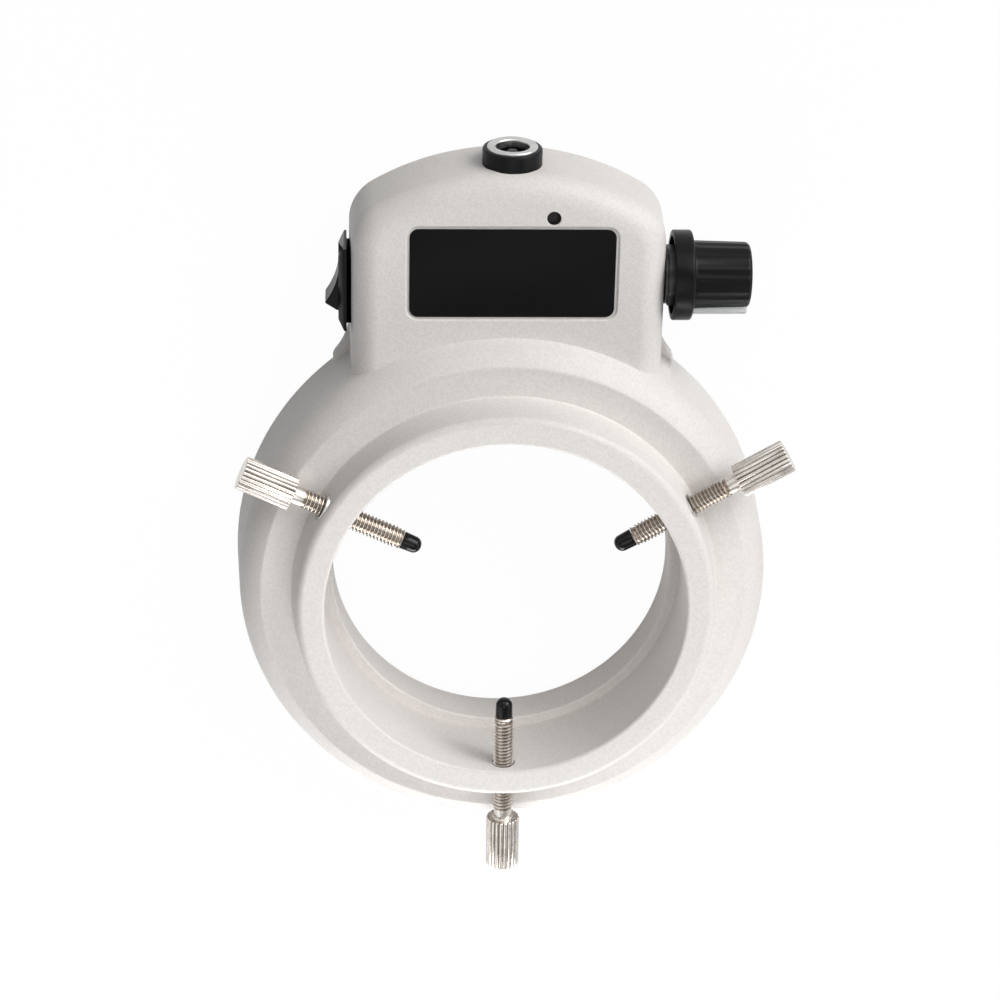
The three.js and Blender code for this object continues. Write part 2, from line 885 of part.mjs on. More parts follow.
// Plate under the box with the frame that holds the lens
function baseCover() {
  const outerRadius = chamberRadius - runningGap;
  const innerRadius = outerRadius - coverFrameWidth;
  const frame = solid(ringBetween(innerRadius, outerRadius, 0, coverThickness, innerRingSides));
  const outline = boxOutline(coverThickness, boxWall + runningGap, cavityInner + runningGap);
  const plateOutline = outline.map(([x, y]) => [x, y]);
  let plate = solid(prism(plateOutline, 0, coverThickness));
  plate = plate.add(frame);
  for (const [x, y] of driverScrewPlaces) {
    plate = plate.add(solid(rod(driverPostRadius, 0, driverHeight, smallSides), upright(x, y)));
  }
  const headRadiusFree = smallScrewHeadRadius + runningGap;
  const headTop = smallScrewRecess + smallScrewHeadHeight;
  for (const [x, y] of boxScrewPlaces) {
    plate = plate.subtract(solid(rod(headRadiusFree, -overrun, headTop, roundSides), upright(x, y)));
    const hole = rod(smallScrewRadius + runningGap, 0, coverThickness + overrun, smallSides);
    plate = plate.subtract(solid(hole, upright(x, y)));
  }
  for (const [x, y] of driverScrewPlaces) {
    const low = driverHeight + boardThickness - smallScrewShortLength;
    const hole = rod(smallScrewRadius + fit, low - fit, driverHeight + overrun, smallSides);
    plate = plate.subtract(solid(hole, upright(x, y)));
  }
  return piece("base_cover", plate, whitePlastic());
}

// Clear ring in front of the lamps
function lensRing() {
  const inner = tubeRadius + runningGap;
  const outer = chamberRadius - runningGap;
  const top = coverThickness + lensThickness;
  const ring = ringBetween(inner, outer, coverThickness, top, innerRingSides);
  return piece("lens_ring", solid(ring), clearPlastic());
}

// White board that carries the lamps
function lampBoard() {
  const inner = tubeRadius + runningGap;
  const outer = chamberRadius - runningGap;
  const low = seatHeight - boardThickness;
  let board = solid(ringBetween(inner, outer, low, seatHeight, innerRingSides));
  for (const [x, y] of bossPlaces()) {
    const hole = rod(smallScrewRadius + runningGap, low - overrun, seatHeight + overrun, smallSides);
    board = board.subtract(solid(hole, upright(x, y)));
  }
  return piece("led_board", board, whiteBoard());
}

// Lamps in two rows, joined by the thin holder that spaces them
function lampRing() {
  const top = seatHeight - boardThickness;
  const middle = (tubeRadius + chamberRadius) / 2;
  const inner = middle - lampHolderWidth / 2;
  const outer = middle + lampHolderWidth / 2;
  let ring = solid(ringBetween(inner, outer, top - lampHolderThickness, top, innerRingSides));
  const dome = lampRadius * lampDomeShare;
  const profile = [
    [0, top - lampHeight],
    [lampRadius - dome, top - lampHeight],
    [lampRadius, top - lampHeight + dome],
    [lampRadius, top - lampHolderThickness / 2],
    [0, top - lampHolderThickness / 2],
  ];
  const lamp = turned(profile, lampSides);
  for (const { share, count } of lampRows) {
    const radius = inner + share * lampHolderWidth;
    for (let i = 0; i < count; i += 1) {
      const angle = ((i + 0.5) / count) * 2 * Math.PI;
      ring = ring.add(solid(lamp, upright(radius * Math.cos(angle), radius * Math.sin(angle))));
    }
  }
  for (const [x, y] of bossPlaces()) {
    const hole = rod(smallScrewHeadRadius + runningGap, top - lampHeight - overrun, top + overrun, roundSides);
    ring = ring.subtract(solid(hole, upright(x, y)));
  }
  return piece("led_lamp_ring", ring, whiteBoard());
}

// Small screw pointing up, its head at the bottom
function smallScrew(length) {
  const profile = [
    [0, 0],
    [smallScrewHeadRadius, 0],
    [smallScrewHeadRadius, smallScrewHeadHeight],
    [smallScrewRadius, smallScrewHeadHeight],
    [smallScrewRadius, smallScrewHeadHeight + length],
    [0, smallScrewHeadHeight + length],
  ];
  const across = smallScrewHeadRadius;
  const slot = barAt(0, 0, 2 * across + overrun, screwSlotWidth, -overrun, screwSlotDepth);
  return { shank: turned(profile, smallSides), slot };
}

function placedSmallScrew(name, length, frame) {
  const { shank, slot } = smallScrew(length);
  return piece(name, cut(solid(shank, frame), solid(slot, frame)), plainSteel());
}

function boardScrews() {
  const low = seatHeight - boardThickness - smallScrewHeadHeight;
  return bossPlaces().map(([x, y], i) =>
    placedSmallScrew(`led_board_screw_${i + 1}`, smallScrewLength, upright(x, y, low)),
  );
}

function coverScrews() {
  return boxScrewPlaces.map(([x, y], i) =>
    placedSmallScrew(`base_screw_${i + 1}`, smallScrewLength, upright(x, y, smallScrewRecess)),
  );
}

function driverScrews() {
  const top = driverHeight + boardThickness + smallScrewHeadHeight;
  const turnedOver = new THREE.Matrix4().makeRotationX(Math.PI);
  return driverScrewPlaces.map(([x, y], i) =>
    placedSmallScrew(`driver_screw_${i + 1}`, smallScrewShortLength, upright(x, y, top).multiply(turnedOver)),
  );
}

// Label plate without any lettering
function labelPlate() {
  const outline = roundedRectangle(labelX, labelY, labelLength, labelWidth, labelCorner, 4);
  const low = boxHeight - recessDepth;
  return piece("label_plate", solid(prism(outline, low, low + labelThickness)), blackLabel());
}

// Dark window over the indicator lamp
function indicatorWindow() {
  const low = boxHeight - roofThickness - indicatorFlangeThickness;
  const profile = [
    [0, low],
    [indicatorRadius + indicatorFlange, low],
    [indicatorRadius + indicatorFlange, low + indicatorFlangeThickness],
    [indicatorRadius, low + indicatorFlangeThickness],
    [indicatorRadius, boxHeight - indicatorRecess],
    [0, boxHeight - indicatorRecess],
  ];
  const frame = upright(indicatorX, indicatorY);
  return piece("indicator_window", solid(turned(profile, roundSides), frame), darkWindow());
}

// Indicator lamp with its two legs down to the driver board
function indicatorLamp() {
  const top = boxHeight - roofThickness - indicatorFlangeThickness - fit;
  const low = top - indicatorLampLength;
  const board = driverHeight + boardThickness;
  const body = domedRod(indicatorRadius + indicatorFlange / 2, low, top, indicatorRadius, smallSides);
  let lamp = solid(body, upright(indicatorX, indicatorY));
  for (const side of [-1, 1]) {
    const x = indicatorX + side * indicatorLeadSpacing / 2;
    const leg = barAt(x, indicatorY, indicatorLeadWidth, indicatorLeadWidth, board, low + indicatorLeadWidth);
    lamp = lamp.add(solid(leg));
  }
  return piece("indicator_led", lamp, darkPart());
}

// Green board in the box
function driverBoard() {
  const outline = [
    [-driverHalfLength, -driverFront],
    [-driverHalfLength, -driverBack],
    [-driverTabStart, -driverBack],
    [-driverTabStart, -driverTabBack],
    [-driverTabEnd, -driverTabBack],
    [-driverTabEnd, -driverBack],
    [driverHalfLength, -driverBack],
    [driverHalfLength, -driverFront],
  ];
  const top = driverHeight + boardThickness;
  let board = solid(prism(outline, driverHeight, top));
  for (const [x, y] of driverScrewPlaces) {
    const hole = rod(smallScrewRadius + runningGap, driverHeight - overrun, top + overrun, smallSides);
    board = board.subtract(solid(hole, upright(x, y)));
  }
  return piece("driver_board", board, greenBoard());
}

// Parts soldered on the driver board
function boardParts() {
  const base = driverHeight + boardThickness;
  const waist = inductorRadius * inductorWaistShare;
  const flange = inductorHeight * inductorFlangeShare;
  const profile = [
    [0, 0],
    [inductorRadius, 0],
    [inductorRadius, flange],
    [waist, flange],
    [waist, inductorHeight - flange],
    [inductorRadius, inductorHeight - flange],
    [inductorRadius, inductorHeight],
    [0, inductorHeight],
  ];
  const inductor = solid(turned(profile, smallSides), upright(inductorX, -inductorY, base));
  const can = domedRod(capacitorRadius, base, base + capacitorHeight, capacitorEdge, smallSides);
  const capacitor = solid(can, upright(capacitorX, -capacitorY));
  const chip = solid(barAt(chipX, -chipY, chipLength, chipWidth, base, base + chipHeight));
  return [
    piece("inductor", inductor, darkPart()),
    piece("capacitor", capacitor, darkPart()),
    piece("driver_chip", chip, darkPart()),
  ];
}

// Power socket
function jackParts() {
  const frame = jackFrame();
  const ringProfile = [
    [jackMouthRadius + fit, 0],
    [jackRingRadius, 0],
    [jackRingRadius, jackRingDepth - jackRingEdge],
    [jackRingRadius - jackRingEdge, jackRingDepth],
    [jackMouthRadius + fit, jackRingDepth],
  ];
  const mouthTop = jackRingDepth + jackMouthProud;
  const inside = boxWall + fit;
  const mouthProfile = [
    [jackSleeveRadius, -inside],
    [jackMouthRadius, -inside],
    [jackMouthRadius, mouthTop - jackMouthEdge / 2],
    [jackMouthRadius - jackMouthEdge / 2, mouthTop],
    [jackHoleRadius + jackMouthEdge / 2, mouthTop],
    [jackHoleRadius, mouthTop - jackMouthEdge],
    [jackHoleRadius, mouthTop - 2 * jackMouthEdge],
    [jackSleeveRadius, mouthTop - 2 * jackMouthEdge],
  ];
  const throatTop = mouthTop - 2 * jackMouthEdge - fit;
  const floor = -inside - jackThroatDepth;
  const back = -inside - jackBodyLength;
  const bodyProfile = [
    [0, back],
    [jackBodyRadius, back],
    [jackBodyRadius, -inside - fit],
    [jackSleeveRadius - fit, -inside - fit],
    [jackSleeveRadius - fit, throatTop],
    [jackThroatRadius, throatTop],
    [jackThroatRadius, floor],
    [0, floor],
  ];
  const body = cut(
    solid(turned(bodyProfile, roundSides), frame),
    solid(rod(jackPinRadius + fit, back - overrun, floor + overrun, smallSides), frame),
  );
  const pinTop = mouthTop - jackPinSetback;
  const pin = domedRod(jackPinRadius, back - jackTerminalBite, pinTop, jackPinRadius / 2, smallSides);
  const parts = [
    piece("dc_jack_ring", solid(turnedRing(ringProfile, roundSides), frame), blackPlastic()),
    piece("dc_jack_mouth", solid(turnedRing(mouthProfile, roundSides), frame), platedSteel()),
    piece("dc_jack_pin", solid(pin, frame), platedSteel()),
  ];
  let holed = body;
  for (const [i, side] of [[1, -1], [2, 1]]) {
    const x = side * jackTerminalSpacing;
    const low = back - jackTerminalLength;
    const high = back + jackTerminalBite;
    const tag = barAt(x, 0, jackTerminalWidth, jackTerminalThickness, low, high);
    const width = jackTerminalWidth + 2 * fit;
    const slot = barAt(x, 0, width, jackTerminalThickness + 2 * fit, low, high + fit);
    holed = holed.subtract(solid(slot, frame));
    parts.push(piece(`dc_jack_terminal_${i}`, solid(tag, frame), platedSteel()));
  }
  parts.push(piece("dc_jack_body", holed, blackPlastic()));
  return parts;
}

// Stack of rectangles along X, turned from an upright stack
function rectangleStack(levels) {
  const upwards = new THREE.Matrix4().makeBasis(
    new THREE.Vector3(0, 1, 0),
    new THREE.Vector3(0, 0, 1),
    new THREE.Vector3(1, 0, 0),
  );
  const outlines = levels.map(([x, halfLength, halfHeight]) => [
    [rockerY - halfLength, rockerZ - halfHeight, x],
    [rockerY + halfLength, rockerZ - halfHeight, x],
    [rockerY + halfLength, rockerZ + halfHeight, x],
    [rockerY - halfLength, rockerZ + halfHeight, x],
  ]);
  return stacked(outlines).applyMatrix4(upwards);
}

const bezelBack = boxHalfWidth + bezelStandoff;
const bezelFront = bezelBack + bezelThickness;
const paddlePivotX = bezelFront - paddlePivotDepth;

// Bezel and body of the rocker switch in one moulding
function rockerBezel() {
  const halfLength = bezelLength / 2;
  const halfHeight = bezelHeight / 2;
  const flange = rectangleStack([
    [bezelBack, halfLength, halfHeight],
    [bezelFront - bezelBevelDepth, halfLength, halfHeight],
    [bezelFront, halfLength - bezelBevelLength, halfHeight - bezelBevelHeight],
  ]);
  const body = rectangleStack([
    [bezelBack - switchBodyDepth, switchBodyLength / 2, switchBodyHeight / 2],
    [bezelBack + fit, switchBodyLength / 2, switchBodyHeight / 2],
  ]);
  const well = rectangleStack([
    [bezelFront - switchWellDepth, switchWellLength / 2, switchWellHeight / 2],
    [bezelFront + overrun, switchWellLength / 2, switchWellHeight / 2],
  ]);
  let bezel = cut(join(solid(flange), solid(body)), solid(well));
  const clearHalf = paddleHeight / 2 + trunnionLength + runningGap;
  const room = rod(trunnionRadius + runningGap, rockerZ - clearHalf, rockerZ + clearHalf, smallSides);
  bezel = bezel.subtract(solid(room, upright(paddlePivotX, rockerY)));
  for (const side of [-1, 1]) {
    bezel = bezel.subtract(solid(switchTerminal(side, fit)));
  }
  return piece("rocker_bezel", bezel, blackPlastic());
}

// Flat terminal of the switch, grown by a clearance
function switchTerminal(side, grown) {
  const back = bezelBack - switchBodyDepth;
  const y = rockerY + side * switchTerminalSpacing / 2;
  return block(
    back - switchTerminalLength,
    back + switchTerminalBite + grown,
    y - switchTerminalThickness / 2 - grown,
    y + switchTerminalThickness / 2 + grown,
    rockerZ - switchTerminalWidth / 2 - grown,
    rockerZ + switchTerminalWidth / 2 + grown,
  );
}

function switchTerminals() {
  return [-1, 1].map((side, i) =>
    piece(`rocker_terminal_${i + 1}`, solid(switchTerminal(side, 0)), yellowMetal()),
  );
}

// Rocker paddle, its profile drawn level and then tipped to the pressed side
function rockerPaddle() {
  const outline = [];
  for (let i = 0; i <= paddleSteps; i += 1) {
    const share = 1 - (2 * i) / paddleSteps;
    outline.push([paddleTipHeight - paddleDip * (1 - share ** 2), share * paddleTipReach]);
  }
  outline.push([paddleHeelHeight, -paddleHeelReach]);
  outline.push([-paddleKeelDepth / 2, -paddleKeelReach]);
  outline.push([-paddleKeelDepth, -paddleKeelReach / 2]);
  outline.push([-paddleKeelDepth, paddleKeelReach / 2]);
  outline.push([-paddleKeelDepth / 2, paddleKeelReach]);
  outline.push([paddleHeelHeight, paddleHeelReach]);
  const low = rockerZ - paddleHeight / 2;
  const high = rockerZ + paddleHeight / 2;
  const tipped = new THREE.Matrix4().makeRotationZ(-paddleTiltDeg * degree);
  const frame = upright(paddlePivotX, rockerY).multiply(tipped);
  const reach = trunnionLength;
  const trunnions = rod(trunnionRadius, low - reach, high + reach, smallSides);
  const paddle = join(solid(prism(outline, low, high), frame), solid(trunnions, frame));
  return piece("rocker_paddle", paddle, blackPlastic());
}

// Round outline of the knob with shallow flutes
function flutedRing(radius, depth, count, height) {
  const points = [];
  for (let i = 0; i < 2 * count; i += 1) {
    const angle = (i / count) * Math.PI;
    const across = i % 2 ? radius - depth : radius;
    points.push([across * Math.cos(angle), across * Math.sin(angle), height]);
  }
  return points;
}

const knobFlangeFace = knobGap + knobFlangeDepth;
const knobEnd = knobFlangeFace + knobGripLength;
const shaftEnd = knobGap + knobHollowDepth + knobBoreDepth;

// Dimmer knob, hollow behind
function dimmerKnob() {
  const frame = dimmerFrame();
  const outer = [
    [knobFlangeRadius - knobFlangeEdge / 2, knobGap, 0],
    [knobFlangeRadius, knobGap + knobFlangeEdge, 0],
    [knobFlangeRadius, knobFlangeFace - knobFlangeEdge, 0],
    [knobFlangeRadius - knobFlangeEdge, knobFlangeFace, 0],
    [knobGripRadius, knobFlangeFace, knobFluteDepth],
    [knobGripTopRadius, knobEnd - knobGripRound, knobFluteDepth],
    [knobGripTopRadius - knobGripRound / 3, knobEnd - knobGripRound / 3, knobFluteDepth],
    [knobGripTopRadius - knobGripRound, knobEnd, 0],
  ];
  const skin = stacked(outer.map(([radius, height, depth]) => flutedRing(radius, depth, knobFlutes, height)));
  const hollow = rod(knobHollowRadius, 0, knobGap + knobHollowDepth, roundSides);
  const bore = dShape(shaftRadius + fit, shaftFlat + fit, knobGap, shaftEnd + fit);
  const slot = pointerBar(fit);
  const notch = rimNotch();
  const tools = [hollow, bore, slot, notch].map((tool) => solid(tool, frame));
  return piece("dimmer_knob", cut(solid(skin, frame), ...tools), blackPlastic());
}

// Notch in the back rim of the knob
function rimNotch() {
  const inner = knobHollowRadius - overrun;
  const outer = knobFlangeRadius + overrun;
  const half = knobNotchWidth / 2;
  const notch = block(inner, outer, -half, half, 0, knobGap + knobNotchDepth);
  return notch.rotateZ(knobNotchAngleDeg * degree);
}

// Rod with one flat side
function dShape(radius, flat, low, high) {
  const start = Math.acos(flat / radius);
  const outline = [];
  for (let i = 0; i <= smallSides; i += 1) {
    const angle = start + (i / smallSides) * 2 * (Math.PI - start);
    outline.push([radius * Math.cos(angle), radius * Math.sin(angle)]);
  }
  return prism(outline, low, high);
}

// Bar of the pointer in the knob's frame, grown by a clearance
function pointerBar(grown) {
  const low = knobFlangeFace + pointerStart - grown;
  const high = knobEnd - pointerEndShort + grown;
  const inner = knobGripRadius - pointerBite - grown;
  const outer = grown > 0 ? knobGripRadius + overrun : knobGripRadius + pointerProud;
  const half = pointerWidth / 2 + grown;
  const bar = block(inner, outer, -half, half, low, high);
  return bar.rotateZ(Math.PI - pointerAngleDeg * degree);
}

function knobPointer() {
  return piece("knob_pointer", solid(pointerBar(0), dimmerFrame()), greyPlastic());
}

// Dimmer behind and on the wall
function dimmerParts() {
  const frame = dimmerFrame();
  const face = -boxWall - potStandoff;
  const shaftLow = face - potShaftBite;
  const bore = shaftRadius + runningGap;
  const pot = solid(rod(potRadius, face - potLength, face, roundSides), frame);
  const [x, y] = tabPlace();
  const tabTop = tabProud;
  const tab = solid(barAt(x, y, tabWidth, tabThickness, face - tabThickness, tabTop), frame);
  const arm = solid(earPlate(face), frame);
  const shaftRoom = solid(rod(bore, shaftLow - runningGap, overrun, roundSides), frame);
  const terminalRoom = solid(potTerminal(fit), frame);
  const body = cut(join(pot, arm, tab), shaftRoom, terminalRoom);
  const bushing = ringBetween(bore, bushingRadius, face + fit, face + boxWall + potStandoff + bushingLength, roundSides);
  const washer = ringBetween(bushingRadius + fit, washerRadius, 0, washerThickness, roundSides);
  const nutRadius = nutAcrossFlats / Math.sqrt(3);
  const nutLow = washerThickness + fit;
  const nut = cut(
    solid(rod(nutRadius, nutLow, nutLow + nutThickness, 6), frame),
    solid(rod(bushingRadius + fit, 0, nutLow + nutThickness + overrun, roundSides), frame),
  );
  const shaftFull = rod(shaftRadius, shaftLow, face + boxWall + potStandoff + bushingLength - fit, roundSides);
  const shaft = join(solid(shaftFull, frame), solid(dShape(shaftRadius, shaftFlat, 0, shaftEnd), frame));
  return [
    piece("dimmer_pot_body", body, plainSteel()),
    piece("dimmer_bushing", solid(bushing, frame), yellowMetal()),
    piece("dimmer_washer", solid(washer, frame), plainSteel()),
    piece("dimmer_nut", nut, plainSteel()),
    piece("dimmer_shaft", shaft, greyPlastic()),
    piece("dimmer_terminals", solid(potTerminal(0), frame), platedSteel()),
  ];
}

// Arm that carries the locating tab of the dimmer
function earPlate(face) {
  const angle = tabAngleDeg * degree;
  const reach = tabRadius + tabThickness / 2;
  const plate = block(0, reach, -tabWidth / 2, tabWidth / 2, face - tabThickness, face);
  return plate.rotateZ(angle);
}

// Terminal strip of the dimmer, grown by a clearance
function potTerminal(grown) {
  const back = -boxWall - potStandoff - potLength;
  return barAt(
    0,
    0,
    potTerminalWidth + 2 * grown,
    potTerminalThickness + 2 * grown,
    back - potTerminalLength,
    back + potTerminalBite + grown,
  );
}

// Thumb screw from nose to head, its head fluted
function thumbScrew({ node, frame }) {
  const threadStart = capLength + fit;
  const threadEnd = capLength + threadLength;
  const neckEnd = threadEnd + neckLength;
  const headEnd = neckEnd + headLength;
  const noseStart = capLength - screwNoseLength;
  const profile = [
    [0, noseStart],
    [screwNoseRadius, noseStart],
    [screwNoseRadius, threadStart],
    [threadRadius, threadStart],
    [threadRadius, threadEnd],
    [neckRadius, threadEnd],
    [neckRadius, neckEnd + headEdge],
    [0, neckEnd + headEdge],
  ];
  const flat = headEnd - headDome;
  const rings = [
    flutedRing(headRadius - headEdge, headFluteDepth - headEdge, headFlutes, neckEnd),
    flutedRing(headRadius, headFluteDepth, headFlutes, neckEnd + headEdge),
    flutedRing(headRadius, headFluteDepth, headFlutes, flat),
    flutedRing(headRadius - headEdge, headFluteDepth - headEdge, headFlutes, flat + headEdge),
    flutedRing(headRadius / 2, 0, headFlutes, headEnd),
  ];
  const shank = solid(turned(profile, screwSides), frame);
  return piece(`thumb_screw_${node}`, shank.add(solid(stacked(rings), frame)), platedSteel());
}

// Rubber cap over the nose of a thumb screw
function screwCap({ node, frame }) {
  const depth = screwNoseLength + fit;
  const profile = [[0, 0]];
  const steps = 3;
  for (let i = 0; i <= steps; i += 1) {
    const turn = (i / steps) * (Math.PI / 2);
    profile.push([capRadius - capDome + capDome * Math.sin(turn), capDome - capDome * Math.cos(turn)]);
  }
  profile.push([capRadius, capLength]);
  profile.push([screwNoseRadius + fit, capLength]);
  profile.push([screwNoseRadius + fit, capLength - depth]);
  profile.push([0, capLength - depth]);
  return piece(`screw_cap_${node}`, solid(turned(profile, screwSides), frame), blackRubber());
}

// Threaded insert in the collar
function screwInsert(screw) {
  const exit = collarExit(screw);
  const inner = threadRadius + runningGap;
  const tube = ringBetween(inner, insertRadius, exit - insertLength, exit + insertProud, roundSides);
  return piece(`screw_insert_${screw.node}`, solid(tube, screw.frame), plainSteel());
}

// Round lead through a list of points
function lead(name, points, material) {
  const path = new THREE.CatmullRomCurve3(points, false, "centripetal");
  const outline = [];
  for (let i = 0; i < leadSides; i += 1) {
    const angle = (i / leadSides) * 2 * Math.PI;
    outline.push(new THREE.Vector2(leadRadius * Math.cos(angle), leadRadius * Math.sin(angle)));
  }
  const geometry = new THREE.ExtrudeGeometry(new THREE.Shape(outline), { steps: leadSteps, extrudePath: path });
  return piece(name, solid(geometry), material);
}

// Leads between the terminals, the driver board and the lamp board
function leads() {
  const gap = leadRadius + fit;
  const board = driverHeight + boardThickness;
  const low = board + gap;
  const switchTip = bezelBack - switchBodyDepth - switchTerminalLength;
  const switchSide = switchTerminalSpacing / 2 - switchTerminalThickness / 2 - gap;
  const dimmerTip = boxSideAt(dimmerZ) - boxWall - potStandoff - potLength - potTerminalLength;
  const jackBack = boxEnd - boxWall - jackBodyLength - jackTerminalLength;
  const lampTop = seatHeight + gap;
  const lampReach = chamberRadius - lampLeadSetback;
  return [
    lead(
      "switch_lead",
      [
        new THREE.Vector3(switchTip + leadBend, rockerY - switchSide, rockerZ + leadRise / 2),
        new THREE.Vector3(switchTip, rockerY - switchSide, rockerZ + leadRise / 2),
        new THREE.Vector3(driverHalfLength - leadBend, rockerY - switchSide, low),
      ],
      redInsulation(),
    ),
    lead(
      "dimmer_lead",
      [
        new THREE.Vector3(-dimmerTip - leadBend, dimmerY, dimmerZ + potTerminalWidth / 2 + gap),
        new THREE.Vector3(-dimmerTip + leadRise, dimmerY, dimmerZ + leadRise),
        new THREE.Vector3(-driverHalfLength + leadBend, dimmerLeadY, low),
      ],
      redInsulation(),
    ),
    lead(
      "jack_lead",
      [
        new THREE.Vector3(jackX + jackTerminalSpacing, -jackBack, jackHeight - leadRise - gap / 2),
        new THREE.Vector3(jackX + jackTerminalSpacing, -jackBack + leadRise, jackHeight - leadRise - gap / 2),
        new THREE.Vector3(jackLeadX, -driverBack + 2 * leadRise, low),
      ],
      blackInsulation(),
    ),
    lead(
      "lamp_lead",
      [
        new THREE.Vector3(lampLeadX, -chamberRadius - lampLeadStart, low),
        new THREE.Vector3(lampLeadX, -chamberRadius - lampLeadRun, lampTop - leadRise / 2),
        new THREE.Vector3(lampLeadX, -chamberRadius, lampTop + leadRise / 2),
        new THREE.Vector3(lampLeadX, -lampReach, lampTop + fit),
        new THREE.Vector3(lampLeadX - lampLeadSpread, -lampReach + 2 * leadRise, lampTop),
      ],
      blackInsulation(),
    ),
  ];
}

const part = new THREE.Group();
part.name = "microscope_ring_light";
part.add(upperHousing(), baseCover(), lensRing(), labelPlate(), indicatorWindow(), indicatorLamp());
part.add(lampBoard(), lampRing(), ...boardScrews(), ...coverScrews());
part.add(driverBoard(), ...boardParts(), ...driverScrews(), ...leads());
part.add(...jackParts(), rockerBezel(), rockerPaddle(), ...switchTerminals());
part.add(...dimmerParts(), dimmerKnob(), knobPointer());
for (const screw of screwFrames()) {
  part.add(thumbScrew(screw), screwCap(screw), screwInsert(screw));
}

export default part;
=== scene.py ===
"""A microscope ring light: off-white plastic shell, black controls, plated thumb screws.

The frame is in metres. Sizes here are in millimetres, and MM turns them into metres.
"""

import json
from math import acos, asin, cos, hypot, pi, sin, sqrt, tan

import bmesh
import bpy
from mathutils import Matrix, Vector

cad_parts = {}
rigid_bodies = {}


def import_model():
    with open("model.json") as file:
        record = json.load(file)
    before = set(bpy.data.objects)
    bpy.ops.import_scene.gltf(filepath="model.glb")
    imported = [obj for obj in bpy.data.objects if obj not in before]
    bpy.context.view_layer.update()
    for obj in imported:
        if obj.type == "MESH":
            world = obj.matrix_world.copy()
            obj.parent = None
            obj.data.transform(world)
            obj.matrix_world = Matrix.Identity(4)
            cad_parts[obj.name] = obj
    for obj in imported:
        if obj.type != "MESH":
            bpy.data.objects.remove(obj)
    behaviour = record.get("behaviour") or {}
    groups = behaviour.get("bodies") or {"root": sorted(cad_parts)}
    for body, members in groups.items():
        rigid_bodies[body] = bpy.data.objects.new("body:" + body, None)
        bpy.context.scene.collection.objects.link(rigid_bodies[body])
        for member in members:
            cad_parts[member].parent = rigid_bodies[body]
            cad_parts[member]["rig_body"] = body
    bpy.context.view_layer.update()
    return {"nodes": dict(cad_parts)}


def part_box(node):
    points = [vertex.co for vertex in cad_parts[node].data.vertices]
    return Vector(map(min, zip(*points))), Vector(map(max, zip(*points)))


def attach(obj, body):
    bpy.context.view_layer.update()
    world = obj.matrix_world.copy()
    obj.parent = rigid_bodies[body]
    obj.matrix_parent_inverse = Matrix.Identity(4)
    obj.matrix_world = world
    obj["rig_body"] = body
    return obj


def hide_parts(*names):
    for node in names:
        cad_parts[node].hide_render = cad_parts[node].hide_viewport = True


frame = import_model()

MM = 0.001
DEGREE = pi / 180
HOUSING = "housing"
# Radius in millimetres of the profile points that stand for the axis
NEAR_AXIS = 0.001

# Facets around the circles
RING_SIDES = 192
ROUND_SIDES = 64
FINE_SIDES = 96
INSERT_SIDES = 48
SCREW_SIDES = 40
SMALL_SIDES = 32
LAMP_SIDES = 24

# Ring bell and collar
RING_BASE_RADIUS = 49.9
RING_WALL_TOP_RADIUS = 49.1
BELL_EDGE_RADIUS = 9.0
CREST_RADIUS = 44.9
CREST_ROUND = 0.9
SHOULDER_HEIGHT = 21.3
COLLAR_FOOT_RADIUS = 39.3
COLLAR_FOOT_ROUND = 0.35
COLLAR_TOP_RADIUS = 38.4
COLLAR_HEIGHT = 29.5
COLLAR_ROUND = 1.45
MOUTH_RADIUS = 33.2
MOUTH_FOOT_RADIUS = 33.6
MOUTH_ROUND = 0.55
LEDGE_HEIGHT = 10.95
LEDGE_ROUND = 0.35
BORE_RADIUS = 31.8
BORE_FOOT_HEIGHT = 2.5
BORE_FOOT_RADIUS = 36.9
CHAMBER_RADIUS = 47.6
SEAT_RADIUS = 45.8
SEAT_HEIGHT = 8.6
TUBE_RADIUS = 35.4
CHAMBER_ROOF = 19.3
CHAMBER_CHAMFER_WIDTH = 3.3
CHAMBER_CHAMFER_HEIGHT = 2.8
BASE_ROUND = 0.4
OVERRUN = 1.5

# Control box
BOX_HALF_WIDTH = 28.5
BOX_END = 79.5
BOX_HEIGHT = 16.5
BOX_END_RADIUS = 48.0
BOX_CORNER_RADIUS = 8.5
BOX_TOP_ROUND = 4.8
BOX_WALL = 2.0
SIDE_DRAFT_SHARE = 0.0335
END_DRAFT_SHARE = 0.065
BOX_INNER = 35.0
CAVITY_INNER = 44.0

# Low flare where the box side meets the ring
FLARE_HEIGHT = 2.0
FLARE_LENGTH = 8.3
FLARE_PROUD = 3.05
FLARE_ROUND = 0.5
FLARE_SHARES = (
    (0, 0), (0.14, 0.3), (0.35, 0.5), (0.57, 0.65),
    (0.78, 0.75), (0.93, 0.83), (1, 0.9), (0.97, 1),
)

# Label and indicator
LABEL_X = -0.48
LABEL_Y = -60.8
LABEL_LENGTH = 36.65
LABEL_WIDTH = 16.4
LABEL_CORNER = 1.6
LABEL_MARGIN = 0.55
LABEL_THICKNESS = 0.3
RECESS_DEPTH = 0.4
RECESS_ROUND = 0.3
INDICATOR_X = -7.6
INDICATOR_Y = -71.1
INDICATOR_RADIUS = 1.25
INDICATOR_RECESS = 0.2
INDICATOR_EDGE = 0.12
INDICATOR_FLANGE = 0.5
INDICATOR_DOME = 0.15

